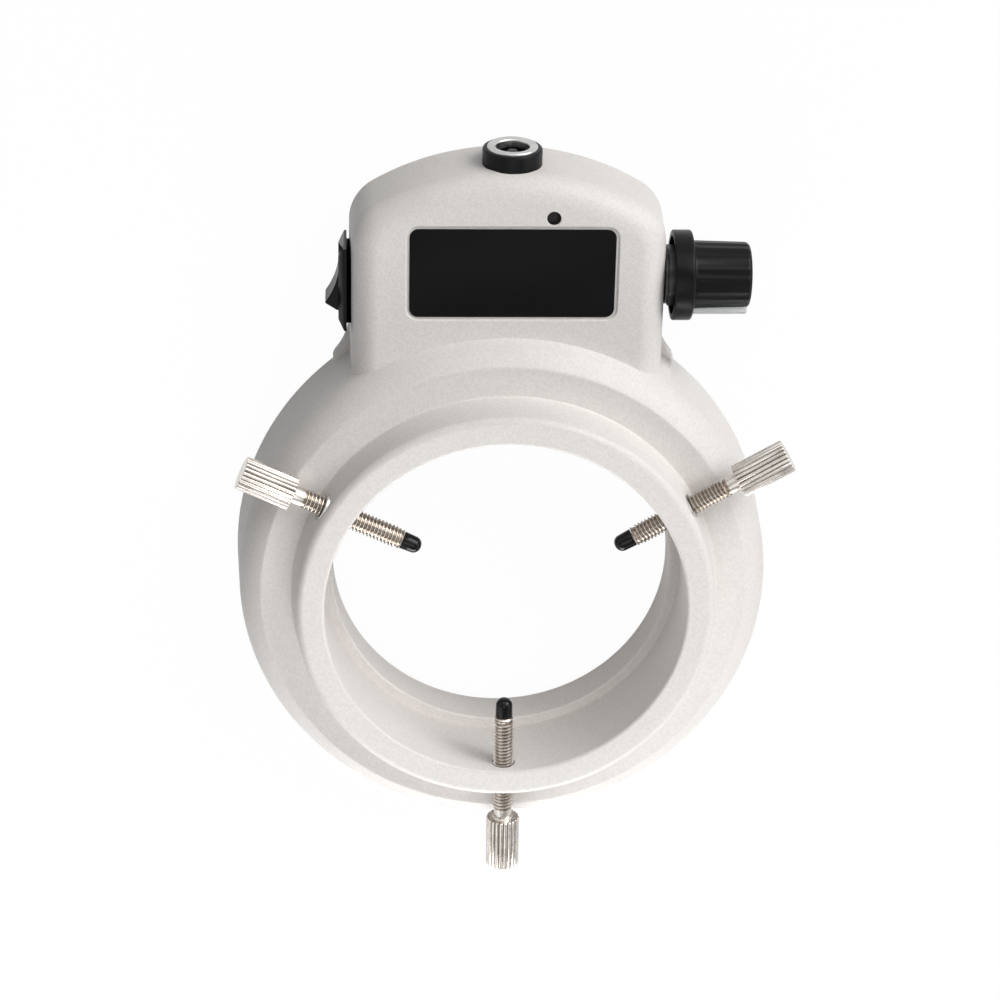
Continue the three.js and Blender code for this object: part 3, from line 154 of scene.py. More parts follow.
# Power socket
JACK_X = -0.45
JACK_HEIGHT = 8.3
JACK_TILT_DEG = 3.72
JACK_RING_RADIUS = 5.35
JACK_RING_DEPTH = 3.05
JACK_RING_ROUND = 0.45
JACK_MOUTH_RADIUS = 4.55
JACK_MOUTH_PROUD = 0.4
JACK_HOLE_RADIUS = 3.0
JACK_SLEEVE_RADIUS = 3.9
JACK_BODY_RADIUS = 5.1
JACK_BODY_LENGTH = 8.2
JACK_THROAT_DEPTH = 7.2
JACK_PIN_RADIUS = 1.0
JACK_PIN_SETBACK = 0.9
JACK_PIN_ROUND = 0.5
JACK_PIN_TAIL = 1.2
JACK_MOUTH_ROUND = 0.4
JACK_MOUTH_DEPTH = 1.6
JACK_LAND_START = 1.0
JACK_STEP_START = 0.85
JACK_STEP_DEPTH = 0.08
JACK_THROAT_RADIUS = 3.1
JACK_THROAT_SETBACK = 1.65
SLIDE_GAP = 0.05
SEAT_GAP = 0.02
SPRING_ANGLES_DEG = (60, 180, 300)
SPRING_STEPS = 8
SPRING_SETBACK = 0.18
SPRING_BOW = 0.55
SPRING_HALF_WIDTH = 0.55
SPRING_THICKNESS = 0.12
SPRING_TOP_GAP = 0.6

# Rocker switch
ROCKER_Y = -55.9
ROCKER_Z = 6.35
BEZEL_EDGE = 0.22
SWITCH_BODY_LENGTH = 13.15
SWITCH_BODY_HEIGHT = 8.5
PADDLE_PIVOT_X = 27.45
PADDLE_HEIGHT = 7.0
PADDLE_TIP_REACH = 4.52
PADDLE_TIP_HEIGHT = 4.38
PADDLE_DIP = 0.82
PADDLE_HEEL_REACH = 5.3
PADDLE_HEEL_HEIGHT = 1.7
PADDLE_KEEL_REACH = 2.2
PADDLE_KEEL_DEPTH = 2.4
PADDLE_TILT_DEG = 16.5
PADDLE_EDGE = 0.3

# Dimmer
DIMMER_Y = -57.9
DIMMER_Z = 8.6
DIMMER_WALL_X = BOX_HALF_WIDTH - SIDE_DRAFT_SHARE * DIMMER_Z
BUSHING_RADIUS = 3.6
KNOB_GAP = 1.55
KNOB_FLANGE_RADIUS = 8.17
KNOB_FLANGE_DEPTH = 3.5
KNOB_GRIP_RADIUS = 6.25
KNOB_GRIP_TOP_RADIUS = 6.0
KNOB_GRIP_LENGTH = 10.55
KNOB_HOLLOW_RADIUS = 7.1
KNOB_HOLLOW_DEPTH = 2.4
KNOB_FLUTES = 18
KNOB_FLUTE_DEPTH = 0.16
KNOB_NOTCH_WIDTH = 0.6
KNOB_NOTCH_DEPTH = 0.9
KNOB_NOTCH_ANGLE_DEG = 245
KNOB_EDGE_ROUND = 0.5
KNOB_FOOT_ROUND = 0.35
KNOB_END_ROUND = 0.9
KNOB_FLUTE_START = 0.8
KNOB_RIM_WIDTH = 1.6
KNOB_DISH_INSET = 1.9
KNOB_DISH_DEPTH = 0.15
FLUTE_STEPS = 8

# Thumb screws
SCREW_HEIGHT = 25.6
SCREW_TURN_DEG = 0.5
CAP_LENGTH = 3.7
CAP_RADIUS = 1.62
CAP_DOME = 1.4
CAP_SHOULDER = 0.08
CAP_EDGE = 0.2
CAP_BORE_RADIUS = 1.25
CAP_BORE_DEPTH = 2.35
TIP_RADIUS = 1.2
TIP_START = 1.4
THREAD_LENGTH = 19.6
THREAD_RADIUS = 1.95
THREAD_PITCH = 0.7
THREAD_DEPTH = 0.36
THREAD_SIDES = 28
THREAD_RUNOUT = 0.8
THREAD_SHARES = ((0.0, 0.0), (0.12, 0.0), (0.44, 1.0), (0.56, 1.0), (0.88, 0.0))
# How far inside the thread and behind its start the first points of the core lie
THREAD_LEAD_IN = ((0.35, 0.0), (0.1, 0.25))
CORE_START = 0.45
RIDGE_START = 0.2
RIDGE_OVERRUN = 0.35
GROOVE_REACH = 1.2
HAIR = 0.01
NECK_LENGTH = 2.1
NECK_RADIUS = 1.7
NECK_TAPER = 0.3
NECK_FOOT = 0.2
NECK_FLARE = 0.25
HEAD_LENGTH = 10.2
HEAD_RADIUS = 3.1
HEAD_FLUTES = 22
HEAD_FLUTE_DEPTH = 0.3
HEAD_EDGE = 0.13
HEAD_DOME = 0.3
HEAD_GROOVE_SHARE = 0.62
HEAD_FOOT_RADIUS = 1.9
HEAD_FACE_INSET = 0.6
HEAD_FACE_DROP = 0.07
HEAD_CENTRE_SHARE = 0.3
INSERT_RADIUS = 2.55
INSERT_LENGTH = 5.2
INSERT_PROUD = 0.05
INSERT_EDGE = 0.12
INSERT_MOUTH_EDGE = 0.15
INSERT_BORE_GAP = 0.04
BURIED_INSERT_RADIUS = 2.2
RUNNING_GAP = 0.15
STRAIGHT_SCREWS = ((1, 90, 19.6), (2, 210, 23.0))
SLANTED_SCREW = (3, -25.3, (15.68, -11.58))

# Lamps
LAMP_RADIUS = 2.3
LAMP_HEIGHT = 3.0
LAMP_HOLDER_THICKNESS = 0.6
LAMP_HOLDER_WIDTH = 10.4
LAMP_ROWS = ((0.27, 20), (0.73, 24))
LAMP_DOME_SHARE = 0.8
LAMP_RIM = 0.12
LAMP_FOOT_HEIGHT = 1.0
LAMP_FOOT_EDGE = 0.95
LAMP_BACK = 0.3
BOARD_THICKNESS = 1.6
BOSS_ANGLES_DEG = (30, 150, 270)
BOSS_SCREW_RADIUS = 2.1


# Mesh helpers

def new_mesh(name, points, faces):
    """Mesh from points in millimetres, its faces turned outwards."""
    mesh = bpy.data.meshes.new(name)
    mesh.from_pydata([Vector(p) * MM for p in points], [], faces)
    bm = bmesh.new()
    bm.from_mesh(mesh)
    bmesh.ops.remove_doubles(bm, verts=bm.verts, dist=1e-7)
    bmesh.ops.recalc_face_normals(bm, faces=bm.faces)
    bm.to_mesh(mesh)
    bm.free()
    return mesh


def new_object(name, data, matrix=None):
    """Object in the scene, a mesh with its place worked into its points."""
    if matrix is not None:
        data.transform(matrix)
    result = bpy.data.objects.new(name, data)
    bpy.context.scene.collection.objects.link(result)
    return result


def soften(piece, angle):
    """Smooth shading apart from the edges sharper than an angle."""
    piece.data.shade_smooth()
    piece.data.set_sharp_from_angle(angle=angle * DEGREE)


def lathe(profile, sides, closed=False):
    """Points and faces of a body of revolution about Z."""
    points = []
    for radius, height in profile:
        for i in range(sides):
            turn = 2 * pi * i / sides
            points.append((radius * cos(turn), radius * sin(turn), height))
    faces = []
    rings = len(profile)
    for ring in range(rings if closed else rings - 1):
        low = ring * sides
        high = ((ring + 1) % rings) * sides
        for i in range(sides):
            k = (i + 1) % sides
            faces.append((low + i, low + k, high + k, high + i))
    if not closed:
        faces.append(tuple(range(sides)))
        faces.append(tuple((rings - 1) * sides + i for i in range(sides)))
    return points, faces


def loft(rings):
    """Points and faces of a skin over rings with equally many points, closed by flat ends."""
    count = len(rings[0])
    points = [p for ring in rings for p in ring]
    faces = []
    for level in range(len(rings) - 1):
        for i in range(count):
            k = (i + 1) % count
            a = level * count
            faces.append((a + i, a + k, a + count + k, a + count + i))
    faces.append(tuple(range(count)))
    faces.append(tuple((len(rings) - 1) * count + i for i in range(count)))
    return points, faces


def shares(steps):
    """Even shares from 0 to 1."""
    return [i / steps for i in range(steps + 1)]


def quarter(steps):
    """Even angles over a quarter turn."""
    return [pi / 2 * i / steps for i in range(steps + 1)]


def heading(angle_deg):
    """Level direction at an angle from X."""
    turn = angle_deg * DEGREE
    return Vector((cos(turn), sin(turn), 0))


def turned(name, profile, sides, matrix=None, closed=False):
    """Object from a body of revolution."""
    return new_object(name, new_mesh(name, *lathe(profile, sides, closed)), matrix)


def lofted(name, rings, matrix=None):
    """Object from a skin over rings."""
    return new_object(name, new_mesh(name, *loft(rings)), matrix)


def arc(centre, radius, start_deg, end_deg, steps):
    """Points of an arc in the plane of a profile."""
    result = []
    for i in range(steps + 1):
        turn = (start_deg + (end_deg - start_deg) * i / steps) * DEGREE
        result.append((centre[0] + radius * cos(turn), centre[1] + radius * sin(turn)))
    return result


def aimed(origin, direction):
    """Matrix in metres with its Z along a direction and its Y as near up as it goes."""
    along = Vector(direction).normalized()
    side = Vector((0, 0, 1)).cross(along).normalized()
    top = along.cross(side)
    turn = Matrix((side, top, along)).transposed().to_4x4()
    return Matrix.Translation(Vector(origin) * MM) @ turn


def upright(x, y, z=0.0):
    """Matrix in metres at a place, without turning."""
    return Matrix.Translation(Vector((x, y, z)) * MM)


def combine(target, tool, operation="DIFFERENCE"):
    """Cut, or another boolean, of two objects. The tool is used up."""
    modifier = target.modifiers.new("combine", "BOOLEAN")
    modifier.operation = operation
    modifier.solver = "EXACT"
    modifier.object = tool
    depsgraph = bpy.context.evaluated_depsgraph_get()
    mesh = bpy.data.meshes.new_from_object(target.evaluated_get(depsgraph))
    target.modifiers.clear()
    target.data = mesh
    bpy.data.objects.remove(tool)


def joined(name, parts):
    """One object that holds several meshes."""
    bm = bmesh.new()
    for part in parts:
        bm.from_mesh(part)
    mesh = bpy.data.meshes.new(name)
    bm.to_mesh(mesh)
    bm.free()
    return new_object(name, mesh)


def dress(piece, angle, material, body, *nodes, slot=None):
    """Smooths a piece up to an angle, gives it its material and body, and hides the CAD nodes it stands in
    for. The slot is not used.
    """
    soften(piece, angle)
    piece.data.materials.clear()
    piece.data.materials.append(MATERIALS[material])
    slot = slot or material
    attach(piece, body)
    if nodes:
        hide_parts(*nodes)
    return piece


def refined(node, material, edge=0.0, angle=32, slot=None):
    """Copy of a CAD node with merged flats, eased edges and smooth rounds."""
    source = frame["nodes"][node]
    bm = bmesh.new()
    bm.from_mesh(source.data)
    bmesh.ops.remove_doubles(bm, verts=bm.verts, dist=1e-6)
    bmesh.ops.dissolve_limit(bm, angle_limit=0.5 * DEGREE, verts=bm.verts, edges=bm.edges)
    if edge > 0:
        limit = angle * DEGREE
        sharp = [e for e in bm.edges if len(e.link_faces) == 2 and e.calc_face_angle(0) > limit]
        bmesh.ops.bevel(bm, geom=sharp, offset=edge * MM, segments=2, affect="EDGES", clamp_overlap=True)
    mesh = bpy.data.meshes.new(node + "_fine")
    bm.to_mesh(mesh)
    bm.free()
    piece = new_object(node + "_fine", mesh)
    return dress(piece, angle, material, source["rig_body"], node, slot=slot)


# Materials

class Nodes:
    """Builder for the nodes of one tree."""

    def __init__(self, tree):
        self.tree = tree

    def put(self, socket, value):
        """Gives a socket a link, a colour or a number."""
        if isinstance(value, bpy.types.NodeSocket):
            self.tree.links.new(value, socket)
        elif socket.type == "RGBA":
            socket.default_value = (*value, 1)
        else:
            socket.default_value = value

    def node(self, kind, inputs, **settings):
        """New node with its settings and inputs."""
        made = self.tree.nodes.new("ShaderNode" + kind)
        for name, value in settings.items():
            setattr(made, name, value)
        for name, value in inputs.items():
            self.put(made.inputs[name], value)
        return made

    def spread(self, factor, low, high, start=0.3, end=0.7):
        """Number that runs from low to high as a factor runs from start to end."""
        inputs = {"Value": factor, "From Min": start, "From Max": end, "To Min": low, "To Max": high}
        return self.node("MapRange", inputs).outputs["Result"]

    def blend(self, factor, first, second):
        """Colour between two others."""
        return self.node("Mix", {0: factor, 6: first, 7: second}, data_type="RGBA").outputs[2]

    def between(self, factor, first, second):
        """Number between two others."""
        return self.node("Mix", {0: factor, 2: first, 3: second}).outputs[0]

    def larger(self, first, second):
        """Larger of two numbers."""
        return self.node("Math", {0: first, 1: second}, operation="MAXIMUM").outputs[0]


class Shader(Nodes):
    """Builder for a procedural material in metres of the object's own space."""

    def __init__(self, name, colour, roughness, metallic=0.0):
        self.material = bpy.data.materials.new(name)
        self.material.use_nodes = True
        super().__init__(self.material.node_tree)
        self.give("Base Color", colour)
        self.give("Roughness", roughness)
        self.give("Metallic", metallic)
        self.place = self.node("TexCoord", {}).outputs["Object"]

    def give(self, name, value):
        """Gives one of the shader's own sockets a value."""
        self.put(self.tree.nodes["Principled BSDF"].inputs[name], value)

    def noise(self, scale, detail=2.0, roughness=0.5, stretch=None):
        """Factor of a noise texture, drawn out along the axes by a stretch."""
        where = self.place
        if stretch:
            where = self.node("Mapping", {"Vector": where, "Scale": stretch}).outputs["Vector"]
        inputs = {"Vector": where, "Scale": scale, "Detail": detail, "Roughness": roughness}
        return self.node("TexNoise", inputs).outputs["Fac"]

    def bump(self, height, distance):
        """Relief with its distance in millimetres."""
        inputs = {"Height": height, "Distance": distance * MM}
        self.give("Normal", self.node("Bump", inputs).outputs["Normal"])


# Name, colour, share of it in the darker clouds, roughness and how far it wanders, grains per metre,
# relief in millimetres, specular level and speckle share
PLASTICS = (
    ("white_plastic", (0.8, 0.766, 0.738), 0.985, 0.5, 0.06, 3300, 0.06, 0.45, 0.08),
    ("black_plastic", (0.0065, 0.0065, 0.0075), 0.7, 0.34, 0.08, 2600, 0.016, 0.13),
    ("label_black", (0.0035, 0.0035, 0.0038), 0.75, 0.42, 0.05, 5200, 0.004, 0.1),
    ("black_rubber", (0.003, 0.003, 0.0035), 0.7, 0.1, 0.04, 1800, 0.004, 0.22),
    ("grey_plastic", (0.66, 0.67, 0.68), 0.93, 0.45, 0.06, 2600, 0.012),
    ("dark_window", (0.011, 0.0085, 0.008), 0.8, 0.12, 0.04, 1500, 0.002, 0.14),
    ("dark_part", (0.028, 0.028, 0.033), 0.75, 0.45, 0.06, 2400, 0.01),
    ("board_white", (0.78, 0.78, 0.75), 0.95, 0.4, 0.06, 1500, 0.006),
    ("board_green", (0.018, 0.11, 0.045), 0.7, 0.35, 0.06, 1500, 0.006),
    ("red_insulation", (0.33, 0.018, 0.014), 0.85, 0.38, 0.06, 1900, 0.006),
    ("black_insulation", (0.012, 0.012, 0.013), 0.85, 0.38, 0.06, 1900, 0.006),
)
# Clouds and rubbed patches are this many grains wide, and speckles have this share of the grain's scale
CLOUD_GRAINS = 45
RUB_GRAINS = 110
SPECKLE_SCALE_SHARE = 0.62
# Name, colour, tarnish, roughness and how far it wanders, relief in millimetres, and grime with painted
# shade for the bottom of the grooves
METALS = (
    ("plated_steel", (0.69, 0.655, 0.62), (0.52, 0.475, 0.43), 0.27, 0.07, 0.008, (0.24, 0.19, 0.145)),
    ("plain_steel", (0.6, 0.6, 0.59), (0.46, 0.455, 0.45), 0.34, 0.08, 0.006),
    # Nearly black steel is painted shade: it stands for plated, plain and yellow metal parts that sit in
    # shadow, the socket pin and the dimmer's bushing, washer and nut.
    ("steel_darkened_as_shade", (0.06, 0.06, 0.065), (0.035, 0.035, 0.036), 0.42, 0.08, 0.006),
    ("yellow_metal", (0.4, 0.28, 0.11), (0.3, 0.2, 0.08), 0.34, 0.07, 0.006),
)
TARNISH_SCALE = 420
WEAR_SCALE = 900
SCRATCH_SCALE = 1400
SCRATCH_STRETCH = (1.0, 1.0, 9.0)


def moulded_plastic(name, colour, dark_share, roughness, wander, grain, relief, level=0.5, speckle=0.0):
    """Moulded plastic with a fine grain, faint handling marks and a fine speckle in its colour."""
    made = Shader(name, colour, roughness)
    shade = tuple(c * dark_share for c in colour)
    tone = made.spread(made.noise(grain / CLOUD_GRAINS, 3.0, 0.6), 0.0, 1.0)
    face = made.blend(tone, shade, colour)
    if speckle > 0:
        dots = made.noise(grain * SPECKLE_SCALE_SHARE, 2.0, 0.6)
        dim_shade = tuple(c * (1 - speckle) for c in shade)
        dim_colour = tuple(c * (1 - speckle) for c in colour)
        dim = made.blend(tone, dim_shade, dim_colour)
        face = made.blend(made.spread(dots, 0.0, 1.0, 0.36, 0.62), dim, face)
    made.give("Base Color", face)
    rub = made.noise(grain / RUB_GRAINS, 4.0, 0.65)
    made.give("Roughness", made.spread(rub, roughness - wander, roughness + wander))
    made.give("Specular IOR Level", level)
    made.bump(made.noise(grain, 3.0, 0.55), relief)
    return made.material


def metal(name, colour, tint, roughness, wander, relief, grime_and_shade=None):
    """Metal with cloudy tarnish, fine pits, drawn scratches, and oil grime with painted shade darkening the
    bottom of its grooves.
    """
    made = Shader(name, colour, roughness, 1.0)
    cloud = made.noise(TARNISH_SCALE, 4.0, 0.6)
    face = made.blend(made.spread(cloud, 0.0, 1.0, 0.35, 0.7), colour, tint)
    # Painted shade with oil grime: the colour darkens towards the bottom of the thread and flute grooves,
    # standing in for the shade there.
    if grime_and_shade:
        groove = made.node("Attribute", {}, attribute_name="groove").outputs["Fac"]
        face = made.blend(made.spread(groove, 0.0, 1.0, 0.45, 1.0), face, grime_and_shade)
    made.give("Base Color", face)
    worn = made.noise(WEAR_SCALE, 4.0, 0.6)
    made.give("Roughness", made.spread(worn, roughness - wander, roughness + wander))
    made.bump(made.noise(SCRATCH_SCALE, 2.0, 0.5, SCRATCH_STRETCH), relief)
    return made.material


def clear_plastic():
    """Clear moulding with a faint haze."""
    made = Shader("clear_plastic", (0.93, 0.95, 0.95), 0.06)
    made.give("Transmission Weight", 1.0)
    made.give("IOR", 1.49)
    made.give("Roughness", made.spread(made.noise(300, 3.0, 0.6), 0.03, 0.12))
    made.bump(made.noise(120, 2.0), 0.01)
    return made.material


def lamp_epoxy():
    """Milky clear epoxy of the lamps, yellower in soft clouds."""
    made = Shader("lamp_epoxy", (0.86, 0.86, 0.78), 0.14)
    made.give("Subsurface Weight", 0.3)
    made.give("Subsurface Scale", 1.2 * MM)
    cloud = made.noise(500, 3.0, 0.6)
    made.give("Base Color", made.blend(made.spread(cloud, 0.0, 1.0), (0.86, 0.86, 0.8), (0.82, 0.78, 0.58)))
    made.give("Roughness", made.spread(cloud, 0.1, 0.22))
    made.bump(made.noise(900, 2.0), 0.004)
    return made.material


MATERIALS = {row[0]: moulded_plastic(*row) for row in PLASTICS}
MATERIALS.update({row[0]: metal(*row) for row in METALS})
MATERIALS["clear_plastic"] = clear_plastic()
MATERIALS["lamp_epoxy"] = lamp_epoxy()


# White shell

def fillet(corner, before, after, radius, steps):
    """Arc that rounds the corner of a profile between its two neighbours."""
    at = Vector(corner)
    u = (Vector(before) - at).normalized()
    v = (Vector(after) - at).normalized()
    half = acos(max(-1.0, min(1.0, u.dot(v)))) / 2
    reach = radius / tan(half)
    centre = at + (u + v).normalized() * (radius / sin(half))
    start = at + u * reach - centre
    end = at + v * reach - centre
    return [tuple(centre + start.lerp(end, share).normalized() * radius) for share in shares(steps)]


def bell_arc():
    """Outer edge of the bell from the wall to its crest."""
    centre_radius = RING_WALL_TOP_RADIUS - BELL_EDGE_RADIUS
    sweep = acos((CREST_RADIUS - centre_radius) / BELL_EDGE_RADIUS)
    height = SHOULDER_HEIGHT - BELL_EDGE_RADIUS * sin(sweep)
    return arc((centre_radius, height), BELL_EDGE_RADIUS, 0, sweep / DEGREE, 16)


def ring_outside():
    """Outside of ring and collar with its crest, foot and edges rounded."""
    bell = bell_arc()
    crest = bell.pop()
    foot = (COLLAR_FOOT_RADIUS, SHOULDER_HEIGHT)
    wall_top = (COLLAR_TOP_RADIUS, COLLAR_HEIGHT - COLLAR_ROUND)
    base = fillet((RING_BASE_RADIUS, 0), (0, 0), bell[0], BASE_ROUND, 4)
    top = arc((COLLAR_TOP_RADIUS - COLLAR_ROUND, wall_top[1]), COLLAR_ROUND, 0, 90, 10)
    while bell and (Vector(bell[-1]) - Vector(crest)).length < CREST_ROUND / 2:
        bell.pop()
    profile = [(NEAR_AXIS, 0)] + base + bell
    profile += fillet(crest, bell[-1], foot, CREST_ROUND, 6)
    profile += fillet(foot, crest, wall_top, COLLAR_FOOT_ROUND, 4)
    profile += top + [(NEAR_AXIS, COLLAR_HEIGHT)]
    return turned("shell", profile, RING_SIDES)


def ring_bore():
    """Bore, ledge and mouth with rounded edges."""
    foot = (MOUTH_FOOT_RADIUS, LEDGE_HEIGHT)
    edge = (BORE_RADIUS, LEDGE_HEIGHT)
    profile = [(NEAR_AXIS, -OVERRUN), (BORE_FOOT_RADIUS, -OVERRUN), (BORE_FOOT_RADIUS, BORE_FOOT_HEIGHT)]
    profile += fillet((BORE_RADIUS, BORE_FOOT_HEIGHT), profile[-1], edge, LEDGE_ROUND, 4)
    profile += fillet(edge, (BORE_RADIUS, 0), foot, LEDGE_ROUND, 4)
    profile.append(foot)
    profile += arc((MOUTH_RADIUS + MOUTH_ROUND, COLLAR_HEIGHT - MOUTH_ROUND), MOUTH_ROUND, 180, 90, 6)
    profile += [(MOUTH_RADIUS + MOUTH_ROUND, COLLAR_HEIGHT + OVERRUN), (NEAR_AXIS, COLLAR_HEIGHT + OVERRUN)]
    return turned("bore", profile, RING_SIDES)


def lamp_chamber():
    """Chamber inside the ring, open below."""
    profile = [
        (TUBE_RADIUS, -OVERRUN),
        (CHAMBER_RADIUS, -OVERRUN),
        (CHAMBER_RADIUS, SEAT_HEIGHT),
        (SEAT_RADIUS, SEAT_HEIGHT),
        (SEAT_RADIUS, CHAMBER_ROOF - CHAMBER_CHAMFER_HEIGHT),
        (SEAT_RADIUS - CHAMBER_CHAMFER_WIDTH, CHAMBER_ROOF),
        (TUBE_RADIUS, CHAMBER_ROOF),
    ]
    return turned("chamber", profile, RING_SIDES, closed=True)


def box_outline(height, inset, inner, level):
    """Outline of the control box at one height, drawn in by an inset and laid at a level."""
    half = BOX_HALF_WIDTH - SIDE_DRAFT_SHARE * height - inset
    end = BOX_END - END_DRAFT_SHARE * height - inset
    end_radius = BOX_END_RADIUS - inset
    corner = BOX_CORNER_RADIUS - SIDE_DRAFT_SHARE * height - inset
    arc_y = end_radius - end
    corner_x = half - corner
    corner_y = arc_y - sqrt((end_radius - corner) ** 2 - corner_x**2)
    sweep = asin(corner_x / (end_radius - corner)) / DEGREE
    flat = [(-half, -inner)]
    flat += arc((-corner_x, corner_y), corner, 180, 270 - sweep, 14)
    flat += arc((0, arc_y), end_radius, 270 - sweep, 270 + sweep, 36)[1:-1]
    flat += arc((corner_x, corner_y), corner, 270 + sweep, 360, 14)
    flat.append((half, -inner))
    return [(x, y, level) for x, y in flat]


def box_block(low, top, inset, rounding, inner, base_round=0.0):
    """Block of the control box with its top edge rounded."""
    rings = [box_outline(0, inset, inner, low)] if low < 0 else []
    if base_round > 0:
        for turn in quarter(4):
            out = base_round * (1 - sin(turn))
            rings.append(box_outline(0, inset + out, inner, base_round * (1 - cos(turn))))
    else:
        rings.append(box_outline(0, inset, inner, 0))
    height = top - rounding
    for turn in quarter(14):
        drawn = inset + rounding * (1 - cos(turn))
        rings.append(box_outline(height, drawn, inner, height + rounding * sin(turn)))
    return lofted("box", rings)


def flare(side):
    """Low flare beside the box, its top edge eased."""
    foot = sqrt(RING_BASE_RADIUS**2 - (BOX_HALF_WIDTH + FLARE_PROUD) ** 2)
    rings = []
    levels = [(0, 0)]
    for turn in quarter(4):
        level = FLARE_HEIGHT - FLARE_ROUND * (1 - sin(turn))
        levels.append((FLARE_ROUND * (1 - cos(turn)), level))
    for inset, level in levels:
        ring = []
        for out, along in FLARE_SHARES:
            x = BOX_HALF_WIDTH + out * FLARE_PROUD - inset
            ring.append((side * x, -foot - FLARE_LENGTH * (1 - along) + inset, level))
        ring.append((side * (BOX_HALF_WIDTH - BOX_WALL), -foot + OVERRUN, level))
        ring.append((side * (BOX_HALF_WIDTH - BOX_WALL), -foot - FLARE_LENGTH, level))
        rings.append(ring)
    return lofted("flare", rings)


def label_outline(length, width, corner, level):
    """Ring of points around the label's place, with round corners."""
    ring = []
    for k, (sx, sy) in enumerate(((1, 1), (-1, 1), (-1, -1), (1, -1))):
        centre = (LABEL_X + sx * (length / 2 - corner), LABEL_Y + sy * (width / 2 - corner))
        ring += [(x, y, level) for x, y in arc(centre, corner, 90 * k, 90 * (k + 1), 8)]
    return ring


def label_recess():
    """Shallow recess for the label with a soft edge and a soft foot."""
    length = LABEL_LENGTH + 2 * LABEL_MARGIN
    width = LABEL_WIDTH + 2 * LABEL_MARGIN
    corner = LABEL_CORNER + LABEL_MARGIN
    levels = []
    for share in shares(5):
        level = BOX_HEIGHT - RECESS_DEPTH + RECESS_DEPTH * share
        levels.append((RECESS_ROUND * (share**2 - 0.5), level))
    levels.append((RECESS_ROUND / 2, BOX_HEIGHT + OVERRUN))
    rings = [label_outline(length + 2 * out, width + 2 * out, corner + out, level) for out, level in levels]
    return lofted("recess", rings)


def rod(radius, low, high, matrix, sides=ROUND_SIDES):
    """Plain round tool for a cut."""
    return turned("rod", [(radius, low), (radius, high)], sides, matrix)


def countersunk(radius, low, face, edge, matrix):
    """Round tool whose mouth at a face is eased."""
    wide = radius + edge
    profile = [(radius, low), (radius, face - edge), (wide, face + edge / 2), (wide, face + OVERRUN)]
    return turned("rod", profile, ROUND_SIDES, matrix)


def slab(x0, x1, y0, y1, z0, z1):
    """Plain block tool for a cut."""
    low = [(x0, y0, z0), (x1, y0, z0), (x1, y1, z0), (x0, y1, z0)]
    high = [(x, y, z1) for x, y, _ in low]
    return lofted("slab", [low, high])


def jack_matrix():
    """Frame of the power socket, Z pointing out of the box."""
    tilt = JACK_TILT_DEG * DEGREE
    sag = BOX_END_RADIUS - sqrt(BOX_END_RADIUS**2 - JACK_RING_RADIUS**2)
    face = BOX_END - END_DRAFT_SHARE * JACK_HEIGHT - sag
    return aimed((JACK_X, -face, JACK_HEIGHT), (0, -cos(tilt), sin(tilt)))


def dimmer_matrix():
    """Frame of the dimmer, Z pointing out of the box."""
    return aimed((-DIMMER_WALL_X, DIMMER_Y, DIMMER_Z), (-1, 0, 0))


def collar_radius_at(height):
    share = (height - SHOULDER_HEIGHT) / (COLLAR_HEIGHT - COLLAR_ROUND - SHOULDER_HEIGHT)
    return COLLAR_FOOT_RADIUS + share * (COLLAR_TOP_RADIUS - COLLAR_FOOT_RADIUS)


def screw_places():
    """Number, tip and direction of each thumb screw."""
    places = []
    for number, angle_deg, tip_radius in STRAIGHT_SCREWS:
        way = heading(angle_deg + SCREW_TURN_DEG)
        places.append((number, way * tip_radius + Vector((0, 0, SCREW_HEIGHT)), way))
    number, angle_deg, (tip_x, tip_y) = SLANTED_SCREW
    places.append((number, Vector((tip_x, tip_y, SCREW_HEIGHT)), heading(angle_deg + SCREW_TURN_DEG)))
    return places


def collar_exit(tip, way):
    """Distance along a screw at which it leaves the collar."""
    reach = tip.x * way.x + tip.y * way.y
    rest = tip.x**2 + tip.y**2 - collar_radius_at(SCREW_HEIGHT) ** 2
    return -reach + sqrt(reach**2 - rest)


def insert_radius(number):
    """Seen radius of a screw's insert. Only the slanted screw's insert shows a rim."""
    return INSERT_RADIUS if number == SLANTED_SCREW[0] else BURIED_INSERT_RADIUS


def boss_places():
    radius = (TUBE_RADIUS + SEAT_RADIUS) / 2
    return [(radius * cos(a * DEGREE), radius * sin(a * DEGREE)) for a in BOSS_ANGLES_DEG]


